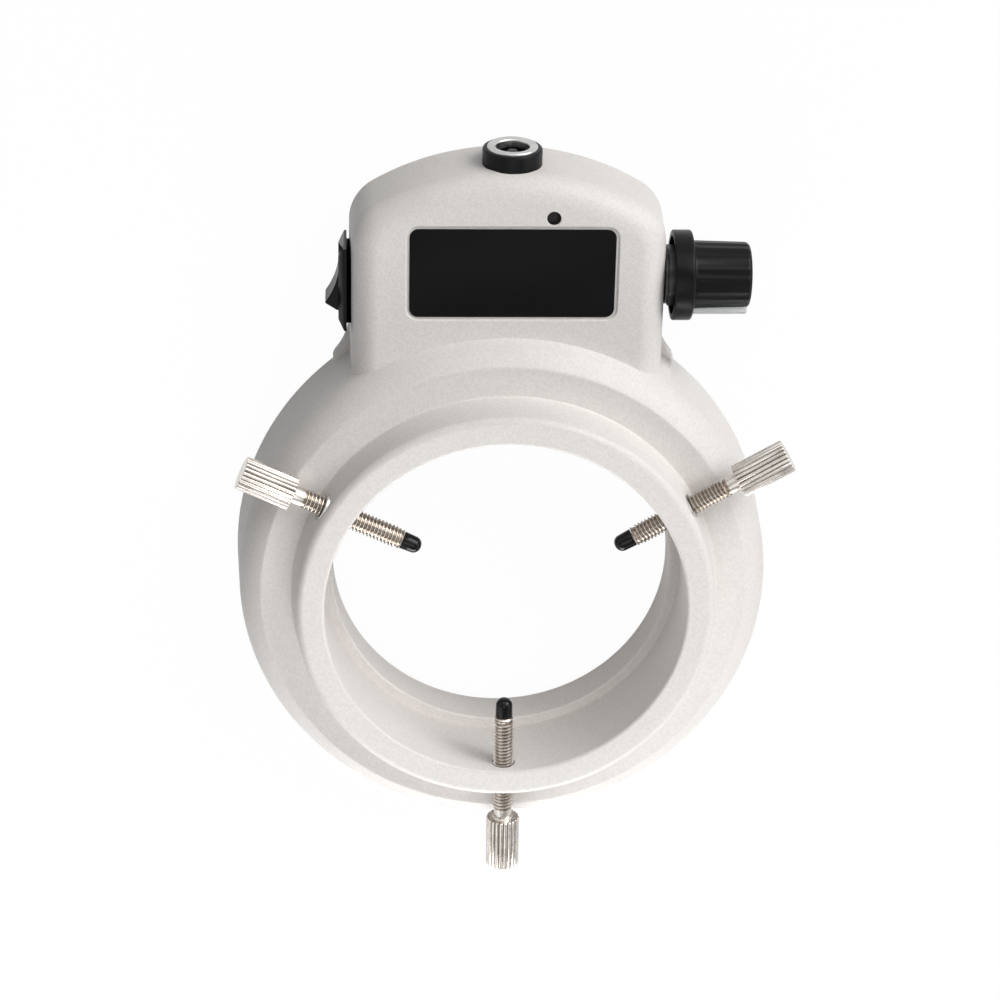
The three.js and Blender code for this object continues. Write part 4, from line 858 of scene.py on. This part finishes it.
def make_shell():
    """White shell of ring, collar and box with all its openings."""
    shell = ring_outside()
    combine(shell, box_block(0, BOX_HEIGHT, 0, BOX_TOP_ROUND, BOX_INNER, BASE_ROUND), "UNION")
    combine(shell, flare(1), "UNION")
    combine(shell, flare(-1), "UNION")
    combine(shell, lamp_chamber())
    cavity_top = BOX_HEIGHT - BOX_WALL
    combine(shell, box_block(-OVERRUN, cavity_top, BOX_WALL, BOX_TOP_ROUND - BOX_WALL, CAVITY_INNER))
    combine(shell, ring_bore())
    combine(shell, label_recess())
    window = upright(INDICATOR_X, INDICATOR_Y)
    combine(shell, countersunk(INDICATOR_RADIUS, cavity_top - OVERRUN, BOX_HEIGHT, INDICATOR_EDGE, window))
    jack = jack_matrix()
    combine(shell, rod(JACK_RING_RADIUS + RUNNING_GAP, 0, JACK_RING_DEPTH, jack))
    combine(shell, rod(JACK_MOUTH_RADIUS, -BOX_WALL - OVERRUN, OVERRUN, jack))
    inner = BOX_HALF_WIDTH - BOX_WALL - OVERRUN
    outer = BOX_HALF_WIDTH + OVERRUN
    length = SWITCH_BODY_LENGTH / 2
    low = ROCKER_Z - SWITCH_BODY_HEIGHT / 2
    high = ROCKER_Z + SWITCH_BODY_HEIGHT / 2
    combine(shell, slab(inner, outer, ROCKER_Y - length, ROCKER_Y + length, low, high))
    combine(shell, rod(BUSHING_RADIUS, -BOX_WALL - OVERRUN, OVERRUN, dimmer_matrix()))
    for number, tip, way in screw_places():
        leaving = collar_exit(tip, way)
        low = leaving - INSERT_LENGTH - OVERRUN
        combine(shell, countersunk(insert_radius(number), low, leaving, INSERT_MOUTH_EDGE, aimed(tip, way)))
    weighted = shell.modifiers.new("even_normals", "WEIGHTED_NORMAL")
    weighted.keep_sharp = True
    weighted.weight = 100
    dress(shell, 28, "white_plastic", HOUSING, "upper_housing")


# Label and indicator

def make_label():
    """Bare black plate with an eased edge."""
    low = BOX_HEIGHT - RECESS_DEPTH
    top = LABEL_THICKNESS
    edge = top / 3
    rings = []
    for drawn, level in ((0, 0), (0, top - edge), (edge / 3, top - edge / 3), (edge, top)):
        length = LABEL_LENGTH - 2 * drawn
        width = LABEL_WIDTH - 2 * drawn
        rings.append(label_outline(length, width, LABEL_CORNER - drawn, low + level))
    dress(lofted("label", rings), 50, "label_black", HOUSING, "label_plate")


def make_indicator():
    """Dark window with a slightly domed face."""
    face = BOX_HEIGHT - INDICATOR_RECESS
    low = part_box("indicator_window")[0].z / MM
    flange = (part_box("indicator_window")[1].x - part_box("indicator_window")[0].x) / 2 / MM
    step = low + INDICATOR_FLANGE
    profile = [(NEAR_AXIS, low), (flange, low), (flange, step), (INDICATOR_RADIUS, step)]
    for share in shares(6):
        height = face - INDICATOR_DOME + INDICATOR_DOME * (1 - (1 - share) ** 2)
        profile.append((INDICATOR_RADIUS * (1 - share) + NEAR_AXIS, height))
    window = turned("indicator", profile, SMALL_SIDES, upright(INDICATOR_X, INDICATOR_Y))
    dress(window, 40, "dark_window", HOUSING, "indicator_window")


# Power socket

def make_jack():
    """Black ring, plated mouth, socket body with spring contacts, and pin."""
    matrix = jack_matrix()
    mouth_top = JACK_RING_DEPTH + JACK_MOUTH_PROUD
    inner = JACK_MOUTH_RADIUS + SEAT_GAP
    r = JACK_RING_ROUND
    ring = [(inner, 0), (JACK_RING_RADIUS, 0)]
    ring += arc((JACK_RING_RADIUS - r, JACK_RING_DEPTH - r), r, 0, 90, 6)
    ring.append((inner, JACK_RING_DEPTH))
    piece = turned("jack_ring", ring, FINE_SIDES, matrix, closed=True)
    dress(piece, 40, "black_plastic", HOUSING, "dc_jack_ring")

    r = JACK_MOUTH_ROUND
    step = mouth_top - JACK_STEP_DEPTH
    low = mouth_top - JACK_MOUTH_DEPTH
    mouth = [(JACK_SLEEVE_RADIUS, -BOX_WALL), (JACK_MOUTH_RADIUS, -BOX_WALL)]
    mouth += arc((JACK_MOUTH_RADIUS - r, mouth_top - r), r, 0, 90, 6)
    mouth += [(JACK_HOLE_RADIUS + JACK_LAND_START, mouth_top), (JACK_HOLE_RADIUS + JACK_STEP_START, step)]
    mouth += arc((JACK_HOLE_RADIUS + r, step - r), r, 90, 180, 6)
    mouth += [(JACK_HOLE_RADIUS, low), (JACK_SLEEVE_RADIUS, low)]
    piece = turned("jack_mouth", mouth, FINE_SIDES, matrix, closed=True)
    dress(piece, 35, "plain_steel", HOUSING, "dc_jack_mouth", slot="plated_steel")

    back = -BOX_WALL - JACK_BODY_LENGTH
    front = -BOX_WALL - SLIDE_GAP
    floor = -BOX_WALL - JACK_THROAT_DEPTH
    throat_top = mouth_top - JACK_THROAT_SETBACK
    sleeve = JACK_SLEEVE_RADIUS - SLIDE_GAP
    throat = JACK_THROAT_RADIUS
    body = [(NEAR_AXIS, back), (JACK_BODY_RADIUS, back), (JACK_BODY_RADIUS, front), (sleeve, front)]
    body += [(sleeve, throat_top), (throat, throat_top), (throat, floor), (NEAR_AXIS, floor)]
    dress(turned("jack_body", body, ROUND_SIDES, matrix), 40, "black_plastic", HOUSING, "dc_jack_body")

    top = mouth_top - JACK_PIN_SETBACK
    r = JACK_PIN_ROUND
    pin = [(NEAR_AXIS, back - JACK_PIN_TAIL), (JACK_PIN_RADIUS, back - JACK_PIN_TAIL)]
    pin += arc((JACK_PIN_RADIUS - r, top - r), r, 0, 90, 6)
    pin.append((NEAR_AXIS, top))
    piece = turned("jack_pin", pin, SMALL_SIDES, matrix)
    # The pin is plated steel darkened nearly black in colour, a painted shade for the depth of the socket.
    dress(piece, 40, "steel_darkened_as_shade", HOUSING, "dc_jack_pin", slot="plated_steel")

    springs = []
    half = SPRING_HALF_WIDTH
    for angle_deg in SPRING_ANGLES_DEG:
        rings = []
        for share in shares(SPRING_STEPS):
            z = floor + (throat_top - SPRING_TOP_GAP - floor) * share
            inner = throat - SPRING_SETBACK - SPRING_BOW * sin(pi * share)
            outer = inner + SPRING_THICKNESS
            rings.append([(inner, -half, z), (outer, -half, z), (outer, half, z), (inner, half, z)])
        mesh = new_mesh("spring", *loft(rings))
        mesh.transform(matrix @ Matrix.Rotation(angle_deg * DEGREE, 4, "Z"))
        springs.append(mesh)
    dress(joined("jack_springs", springs), 40, "plated_steel", HOUSING)


# Rocker switch

def make_rocker():
    """Bezel from its solid with eased edges, and a paddle with a smooth dip."""
    refined("rocker_bezel", "black_plastic", BEZEL_EDGE)
    outline = []
    for part in shares(20):
        share = 1 - 2 * part
        outline.append((PADDLE_TIP_HEIGHT - PADDLE_DIP * (1 - share**2), share * PADDLE_TIP_REACH))
    low = -PADDLE_KEEL_DEPTH
    reach = PADDLE_KEEL_REACH
    keel = [(PADDLE_HEEL_HEIGHT, PADDLE_HEEL_REACH), (low / 2, reach), (low, reach / 2)]
    outline += [(x, -y) for x, y in keel] + keel[::-1]
    half = PADDLE_HEIGHT / 2
    rings = [[(x, y, -half) for x, y in outline], [(x, y, half) for x, y in outline]]
    tilt = Matrix.Rotation(-PADDLE_TILT_DEG * DEGREE, 4, "Z")
    paddle = lofted("rocker", rings, upright(PADDLE_PIVOT_X, ROCKER_Y, ROCKER_Z) @ tilt)
    bevel = paddle.modifiers.new("eased", "BEVEL")
    bevel.width = PADDLE_EDGE * MM
    bevel.segments = 3
    bevel.limit_method = "ANGLE"
    bevel.angle_limit = 35 * DEGREE
    bevel.harden_normals = True
    dress(paddle, 35, "black_plastic", "rocker", "rocker_paddle")


# Dimmer

def fluted_ring(radius, depth, flutes, level, width_share):
    """Ring of points with grooves, between broad lands where their share is below 1."""
    ring = []
    count = flutes * FLUTE_STEPS
    for i in range(count):
        phase = (i % FLUTE_STEPS) / FLUTE_STEPS
        if width_share < 1:
            groove = depth * max(0.0, 1 - abs(phase - 0.5) / (width_share / 2))
        else:
            groove = depth * (0.5 - 0.5 * cos(2 * pi * phase))
        turn = 2 * pi * i / count
        across = radius - groove
        ring.append((across * cos(turn), across * sin(turn), level))
    return ring


def make_knob():
    """Hollow-backed knob with a shallowly fluted grip, its pointer and the dimmer behind it."""
    matrix = dimmer_matrix()
    face = KNOB_GAP + KNOB_FLANGE_DEPTH
    end = face + KNOB_GRIP_LENGTH
    edge = KNOB_EDGE_ROUND
    foot = KNOB_FOOT_ROUND
    rounding = KNOB_END_ROUND
    depth = KNOB_FLUTE_DEPTH
    rim = KNOB_FLANGE_RADIUS - edge / 2
    dish = end - KNOB_DISH_DEPTH
    flange = [(rim, KNOB_GAP)]
    flange += arc((rim, KNOB_GAP + edge / 2), edge / 2, -60, 0, 3)
    flange += arc((KNOB_FLANGE_RADIUS - edge, face - edge), edge, 0, 90, 6)
    flange += arc((KNOB_GRIP_RADIUS + foot, face + foot), foot, 270, 180, 4)
    levels = [(x, z, 0) for x, z in flange]
    levels.append((KNOB_GRIP_RADIUS, face + KNOB_FLUTE_START, depth))
    top = (KNOB_GRIP_TOP_RADIUS - rounding, end - rounding)
    levels += [(x, z, depth * (1 - i / 8)) for i, (x, z) in enumerate(arc(top, rounding, 0, 90, 8))]
    levels.append((KNOB_GRIP_TOP_RADIUS - KNOB_RIM_WIDTH, end, 0))
    levels += [(KNOB_GRIP_TOP_RADIUS - KNOB_DISH_INSET, dish, 0), (NEAR_AXIS, dish, 0)]
    knob = lofted("knob", [fluted_ring(radius, d, KNOB_FLUTES, z, 1) for radius, z, d in levels], matrix)
    combine(knob, rod(KNOB_HOLLOW_RADIUS, -OVERRUN, KNOB_GAP + KNOB_HOLLOW_DEPTH, matrix, FINE_SIDES))
    half = KNOB_NOTCH_WIDTH / 2
    inner = KNOB_HOLLOW_RADIUS - OVERRUN
    outer = KNOB_FLANGE_RADIUS + OVERRUN
    notch = slab(inner, outer, -half, half, 0, KNOB_GAP + KNOB_NOTCH_DEPTH)
    notch.data.transform(matrix @ Matrix.Rotation(KNOB_NOTCH_ANGLE_DEG * DEGREE, 4, "Z"))
    combine(knob, notch)
    dress(knob, 30, "black_plastic", "dimmer", "dimmer_knob")
    refined("knob_pointer", "grey_plastic", 0.2)
    refined("dimmer_shaft", "grey_plastic", 0.1)
    # Bushing, washer and nut are darkened nearly black in colour, a painted shade for the gap behind the
    # knob.
    refined("dimmer_bushing", "steel_darkened_as_shade", 0.08, slot="yellow_metal")
    refined("dimmer_washer", "steel_darkened_as_shade", 0.08, slot="plain_steel")
    refined("dimmer_nut", "steel_darkened_as_shade", 0.12, slot="plain_steel")
    body = refined("dimmer_pot_body", "plain_steel", 0.1)
    outer = -BOX_HALF_WIDTH - 2 * OVERRUN
    near = DIMMER_Y - BOX_END
    far = DIMMER_Y + BOX_END
    combine(body, slab(outer, -DIMMER_WALL_X, near, far, -OVERRUN, BOX_HEIGHT))
    soften(body, 32)


# Thumb screws

def thread(start, end):
    """Helical ridge of the thread, running out at both ends."""
    root = THREAD_RADIUS - THREAD_DEPTH
    count = int((end - start) / THREAD_PITCH * THREAD_SIDES) - THREAD_SIDES
    runout = THREAD_SIDES * THREAD_RUNOUT
    points = []
    for k in range(count + 1):
        turn = 2 * pi * k / THREAD_SIDES
        fade = min(1.0, k / runout, (count - k) / runout)
        for along, up in THREAD_SHARES:
            radius = root + THREAD_DEPTH * up * fade
            height = start + THREAD_PITCH * (k / THREAD_SIDES + along)
            points.append((radius * cos(turn), radius * sin(turn), height))
    faces = []
    width = len(THREAD_SHARES)
    for k in range(count):
        a = k * width
        b = a + width
        for j in range(width - 1):
            faces.append((a + j, b + j, b + j + 1, a + j + 1))
    return points, faces


def mark_grooves(piece, matrix, stretches):
    """Vertex attribute that runs from 0 on the crests to 1 at the bottom of the thread and the flutes, the
    mask of the painted shade and grime there.
    """
    back = matrix.inverted()
    marks = []
    for vertex in piece.data.vertices:
        place = (back @ vertex.co) / MM
        across = hypot(place.x, place.y)
        mark = 0.0
        for low, high, radius, depth in stretches:
            if low <= place.z <= high and across > radius - depth * GROOVE_REACH:
                mark = min(1.0, max(0.0, (radius - across) / depth))
        marks.append(mark)
    piece.data.attributes.new("groove", "FLOAT", "POINT").data.foreach_set("value", marks)


def make_screw(number, tip, way):
    """Thumb screw with a real thread, a fluted head and a rubber cap on its tip, and its insert."""
    matrix = aimed(tip, way)
    thread_start = CAP_LENGTH + SLIDE_GAP
    thread_end = CAP_LENGTH + THREAD_LENGTH
    neck_end = thread_end + NECK_LENGTH
    head_end = neck_end + HEAD_LENGTH
    root = THREAD_RADIUS - THREAD_DEPTH + HAIR
    core = [(NEAR_AXIS, TIP_START), (TIP_RADIUS, TIP_START), (TIP_RADIUS, CAP_LENGTH + SEAT_GAP)]
    core += [(THREAD_RADIUS - inset, thread_start + along) for inset, along in THREAD_LEAD_IN]
    core += [
        (root, thread_start + CORE_START),
        (root, thread_end),
        (NECK_RADIUS, thread_end + NECK_TAPER),
        (NECK_RADIUS, neck_end - NECK_FOOT),
        (NECK_RADIUS + NECK_FLARE, neck_end),
        (NECK_RADIUS + NECK_FLARE, neck_end + HEAD_EDGE),
        (NEAR_AXIS, neck_end + HEAD_EDGE),
    ]
    shank = new_mesh("shank", *lathe(core, SCREW_SIDES))
    ridge = new_mesh("ridge", *thread(thread_start + RIDGE_START, thread_end + RIDGE_OVERRUN))
    flat = head_end - HEAD_DOME
    depth = HEAD_FLUTE_DEPTH
    eased = HEAD_RADIUS - HEAD_EDGE
    bottom = HEAD_RADIUS - depth - HAIR
    levels = [
        (HEAD_FOOT_RADIUS, neck_end + HAIR, 0),
        (bottom, neck_end, 0),
        (eased, neck_end + HAIR, depth - HEAD_EDGE),
        (HEAD_RADIUS, neck_end + HEAD_EDGE, depth),
        (HEAD_RADIUS, flat, depth),
        (eased, flat + HEAD_EDGE, depth - HEAD_EDGE),
        (bottom, flat + HEAD_EDGE + HAIR, 0),
        (bottom - HEAD_FACE_INSET, head_end - HEAD_FACE_DROP, 0),
        (HEAD_RADIUS * HEAD_CENTRE_SHARE, head_end, 0),
        (NEAR_AXIS, head_end, 0),
    ]
    rings = [fluted_ring(radius, d, HEAD_FLUTES, z, HEAD_GROOVE_SHARE) for radius, z, d in levels]
    parts = (shank, ridge, new_mesh("head", *loft(rings)))
    for mesh in parts:
        mesh.transform(matrix)
    screw = joined(f"screw_{number}", parts)
    thread_stretch = (0, thread_end + NECK_FOOT, THREAD_RADIUS, THREAD_DEPTH)
    mark_grooves(screw, matrix, (thread_stretch, (neck_end, flat + HEAD_EDGE, HEAD_RADIUS, depth)))
    dress(screw, 30, "plated_steel", f"screw_{number}", f"thumb_screw_{number}")

    dome = CAP_DOME
    bore_end = CAP_LENGTH - CAP_BORE_DEPTH
    cap = [(NEAR_AXIS, 0)]
    cap += arc((CAP_RADIUS - CAP_SHOULDER - dome, dome), dome, -86, 0, 12)
    cap += [(CAP_RADIUS, CAP_LENGTH - CAP_EDGE), (CAP_RADIUS - SLIDE_GAP, CAP_LENGTH - SLIDE_GAP)]
    cap += [(CAP_RADIUS - CAP_EDGE, CAP_LENGTH), (CAP_BORE_RADIUS, CAP_LENGTH)]
    cap += [(CAP_BORE_RADIUS, bore_end), (NEAR_AXIS, bore_end)]
    piece = turned(f"cap_{number}", cap, SCREW_SIDES, matrix)
    dress(piece, 40, "black_rubber", f"screw_{number}_tip", f"screw_cap_{number}")

    leaving = collar_exit(tip, way)
    low = leaving - INSERT_LENGTH
    top = leaving + INSERT_PROUD
    inner = THREAD_RADIUS + INSERT_BORE_GAP
    outer = insert_radius(number) - SEAT_GAP
    e = INSERT_EDGE
    ring = [(inner, low), (outer, low), (outer, top - e)]
    ring += [(outer - e, top), (inner + e, top), (inner, top - e)]
    piece = turned(f"insert_{number}", ring, INSERT_SIDES, matrix, closed=True)
    dress(piece, 40, "plain_steel", HOUSING, f"screw_insert_{number}")


# Lamps, boards and covers

def make_lamps():
    """Round-topped lamps in two rows on the holder that spaces them."""
    top = SEAT_HEIGHT - BOARD_THICKNESS
    middle = (TUBE_RADIUS + CHAMBER_RADIUS) / 2
    inner = middle - LAMP_HOLDER_WIDTH / 2
    outer = middle + LAMP_HOLDER_WIDTH / 2
    under = top - LAMP_HOLDER_THICKNESS
    holder = [(inner, under), (outer, under), (outer, top), (inner, top)]
    parts = [new_mesh("holder", *lathe(holder, FINE_SIDES, closed=True))]
    dome = LAMP_RADIUS * LAMP_DOME_SHARE
    low = top - LAMP_HEIGHT
    rim = LAMP_RADIUS - LAMP_RIM
    profile = [(NEAR_AXIS, low)] + arc((rim - dome, low + dome), dome, -90, 0, 6)
    profile += [(rim, top - LAMP_FOOT_HEIGHT), (LAMP_RADIUS, top - LAMP_FOOT_EDGE)]
    profile += [(LAMP_RADIUS, top - LAMP_BACK), (NEAR_AXIS, top - LAMP_BACK)]
    for share, count in LAMP_ROWS:
        radius = inner + share * LAMP_HOLDER_WIDTH
        for i in range(count):
            angle = (i + 0.5) / count * 2 * pi
            lamp = new_mesh("lamp", *lathe(profile, LAMP_SIDES))
            lamp.transform(upright(radius * cos(angle), radius * sin(angle)))
            parts.append(lamp)
    lamps = joined("lamps", parts)
    boss_reach = BOSS_SCREW_RADIUS + RUNNING_GAP
    for place in boss_places():
        combine(lamps, rod(boss_reach, low - OVERRUN, top + OVERRUN, upright(*place), SMALL_SIDES))
    dress(lamps, 35, "lamp_epoxy", HOUSING, "led_lamp_ring", slot="lamp_white")


# Material, width of the eased edges in millimetres, smoothing angle and nodes of the plain pieces
PLAIN_PIECES = (
    ("white_plastic", 0.15, 32, ("base_cover",)),
    ("clear_plastic", 0.0, 32, ("lens_ring",)),
    ("board_white", 0.0, 32, ("led_board",)),
    ("board_green", 0.1, 32, ("driver_board",)),
    ("dark_part", 0.0, 32, ("indicator_led",)),
    ("dark_part", 0.15, 32, ("inductor", "capacitor", "driver_chip")),
    ("plain_steel", 0.1, 32, ("led_board_screw_1", "led_board_screw_2", "led_board_screw_3")),
    ("plain_steel", 0.1, 32, ("base_screw_1", "base_screw_2", "driver_screw_1", "driver_screw_2")),
    ("plated_steel", 0.05, 32, ("dc_jack_terminal_1", "dc_jack_terminal_2", "dimmer_terminals")),
    ("yellow_metal", 0.08, 32, ("rocker_terminal_1", "rocker_terminal_2")),
    ("red_insulation", 0.0, 70, ("switch_lead", "dimmer_lead")),
    ("black_insulation", 0.0, 70, ("jack_lead", "lamp_lead")),
)


def make_inside():
    """Covers, boards, fasteners and leads, from their solids with eased edges."""
    for material, edge, angle, nodes in PLAIN_PIECES:
        for node in nodes:
            refined(node, material, edge, angle)


# Stage, light and camera

def make_floor():
    """Pale floor that looks white and keeps a soft shadow."""
    mesh = bpy.data.meshes.new("floor")
    corners = ((-1, -1), (1, -1), (1, 1), (-1, 1))
    mesh.from_pydata([(x * FLOOR_HALF, y * FLOOR_HALF, 0) for x, y in corners], [], [(0, 1, 2, 3)])
    floor = new_object("floor", mesh)
    floor.location.z = -FLOOR_DROP
    material = bpy.data.materials.new("floor")
    material.use_nodes = True
    material.node_tree.nodes.clear()
    made = Nodes(material.node_tree)
    path = made.node("LightPath", {}).outputs
    seen = made.larger(path["Is Camera Ray"], path["Is Glossy Ray"])
    seen = made.larger(seen, path["Is Transmission Ray"])
    share = made.node("Math", {0: seen, 1: FLOOR_GLOW_SHARE}, operation="MULTIPLY").outputs[0]
    lit = made.node("BsdfDiffuse", {"Color": made.blend(seen, FLOOR_COLOUR, WHITE)}).outputs[0]
    glow = made.node("Emission", {"Color": WHITE}).outputs[0]
    surface = made.node("MixShader", {"Fac": share, 1: lit, 2: glow}).outputs[0]
    made.node("OutputMaterial", {"Surface": surface})
    mesh.materials.append(material)


# Floor, its size in metres, and the light of the surroundings
WHITE = (1, 1, 1)
FLOOR_COLOUR = (0.3, 0.3, 0.3)
FLOOR_GLOW_SHARE = 0.97
FLOOR_HALF = 6.0
FLOOR_DROP = 0.0002
WORLD_LIGHT = 0.05
# Heights on the sky between which reflections darken, and how bright they stay overhead
SKY_LOW = 0.25
SKY_HIGH = 0.85
SKY_OVERHEAD = 0.4
# Name, azimuth and elevation of each softbox in degrees, its distance, size in metres and power in watts
SOFTBOXES = (
    ("front", 0, 35, 2.4, 1.5, 9.3),
    ("back_low", 180, 12, 0.8, 0.5, 3.8),
    ("back_near", 180, 20, 0.4, 0.25, 0.78),
    ("front_right_low", 315, 12, 2.4, 1.5, 28.0),
    ("front_right", 315, 35, 2.4, 1.5, 24.5),
    ("front_left", 45, 35, 2.4, 1.5, 2.0),
    ("above", 0, 90, 0.28, 0.17, 0.116),
    ("back_left", 135, 30, 0.28, 0.17, 0.085),
    ("back_left_high", 135, 60, 0.28, 0.17, 0.03),
    ("left", 90, 30, 0.28, 0.17, 0.02),
    ("right", 270, 30, 0.28, 0.17, 0.097),
)


def outward(azimuth, elevation):
    """Direction away from the object at an azimuth and elevation in degrees, -Y being azimuth 0."""
    a = azimuth * DEGREE
    e = elevation * DEGREE
    return Vector((sin(a) * cos(e), -cos(a) * cos(e), sin(e)))


def make_softboxes():
    """Square area lights aimed at the middle of the object."""
    aim = Vector((0, -0.01, 0.01))
    for name, azimuth, elevation, distance, size, power in SOFTBOXES:
        away = outward(azimuth, elevation)
        light = bpy.data.lights.new(name, "AREA")
        light.size = size
        light.energy = power
        lamp = new_object(name, light)
        lamp.location = aim + away * distance
        lamp.rotation_mode = "QUATERNION"
        lamp.rotation_quaternion = away.to_track_quat("Z", "Y")


def make_world():
    """Soft surroundings, white where the camera looks at them and darker overhead in reflections."""
    world = bpy.data.worlds.new("studio")
    bpy.context.scene.world = world
    world.use_nodes = True
    made = Nodes(world.node_tree)
    path = made.node("LightPath", {}).outputs
    place = made.node("TexCoord", {}).outputs["Generated"]
    height = made.node("SeparateXYZ", {"Vector": place}).outputs["Z"]
    sky = made.spread(height, 1.0, SKY_OVERHEAD, SKY_LOW, SKY_HIGH)
    shiny = made.larger(path["Is Glossy Ray"], path["Is Transmission Ray"])
    strength = made.between(path["Is Camera Ray"], made.between(shiny, WORLD_LIGHT, sky), 1.0)
    back = world.node_tree.nodes["Background"].inputs
    made.put(back["Color"], WHITE)
    made.put(back["Strength"], strength)


# Camera that took the photo, in degrees, metres and pixels of its square frame
CAMERA_AZIMUTH = 7.0
CAMERA_ELEVATION = 64.61
CAMERA_ROLL = -6.49
CAMERA_DISTANCE = 0.54091
CAMERA_AIM_HEIGHT = 0.0025
FRAME_PIXELS = 1000
FOCAL_PIXELS = 2831.7
CENTRE_PIXEL = (499.35, 550.49)
SENSOR_WIDTH_MM = 36.0
CLIP_START = 0.05
CLIP_END = 20


def make_camera():
    """Camera at the photo's viewing angle, upside down as the photo is."""
    back = outward(CAMERA_AZIMUTH, CAMERA_ELEVATION)
    forward = -back
    right = forward.cross(Vector((0, 0, 1))).normalized()
    up = right.cross(forward)
    roll = pi + CAMERA_ROLL * DEGREE
    across = cos(roll) * right + sin(roll) * up
    upward = -sin(roll) * right + cos(roll) * up
    data = bpy.data.cameras.new("camera")
    data.sensor_width = SENSOR_WIDTH_MM
    data.lens = FOCAL_PIXELS / FRAME_PIXELS * data.sensor_width
    data.shift_x = 0.5 - CENTRE_PIXEL[0] / FRAME_PIXELS
    data.shift_y = CENTRE_PIXEL[1] / FRAME_PIXELS - 0.5
    data.clip_start = CLIP_START
    data.clip_end = CLIP_END
    camera = new_object("camera", data)
    turn = Matrix((across, upward, back)).transposed().to_4x4()
    place = back * CAMERA_DISTANCE + Vector((0, 0, CAMERA_AIM_HEIGHT))
    camera.matrix_world = Matrix.Translation(place) @ turn
    bpy.context.scene.camera = camera


make_camera()
make_world()
make_softboxes()
make_floor()
make_shell()
make_label()
make_indicator()
make_jack()
make_rocker()
make_knob()
for place in screw_places():
    make_screw(*place)
make_lamps()
make_inside()
bpy.context.scene.view_settings.view_transform = "Standard"
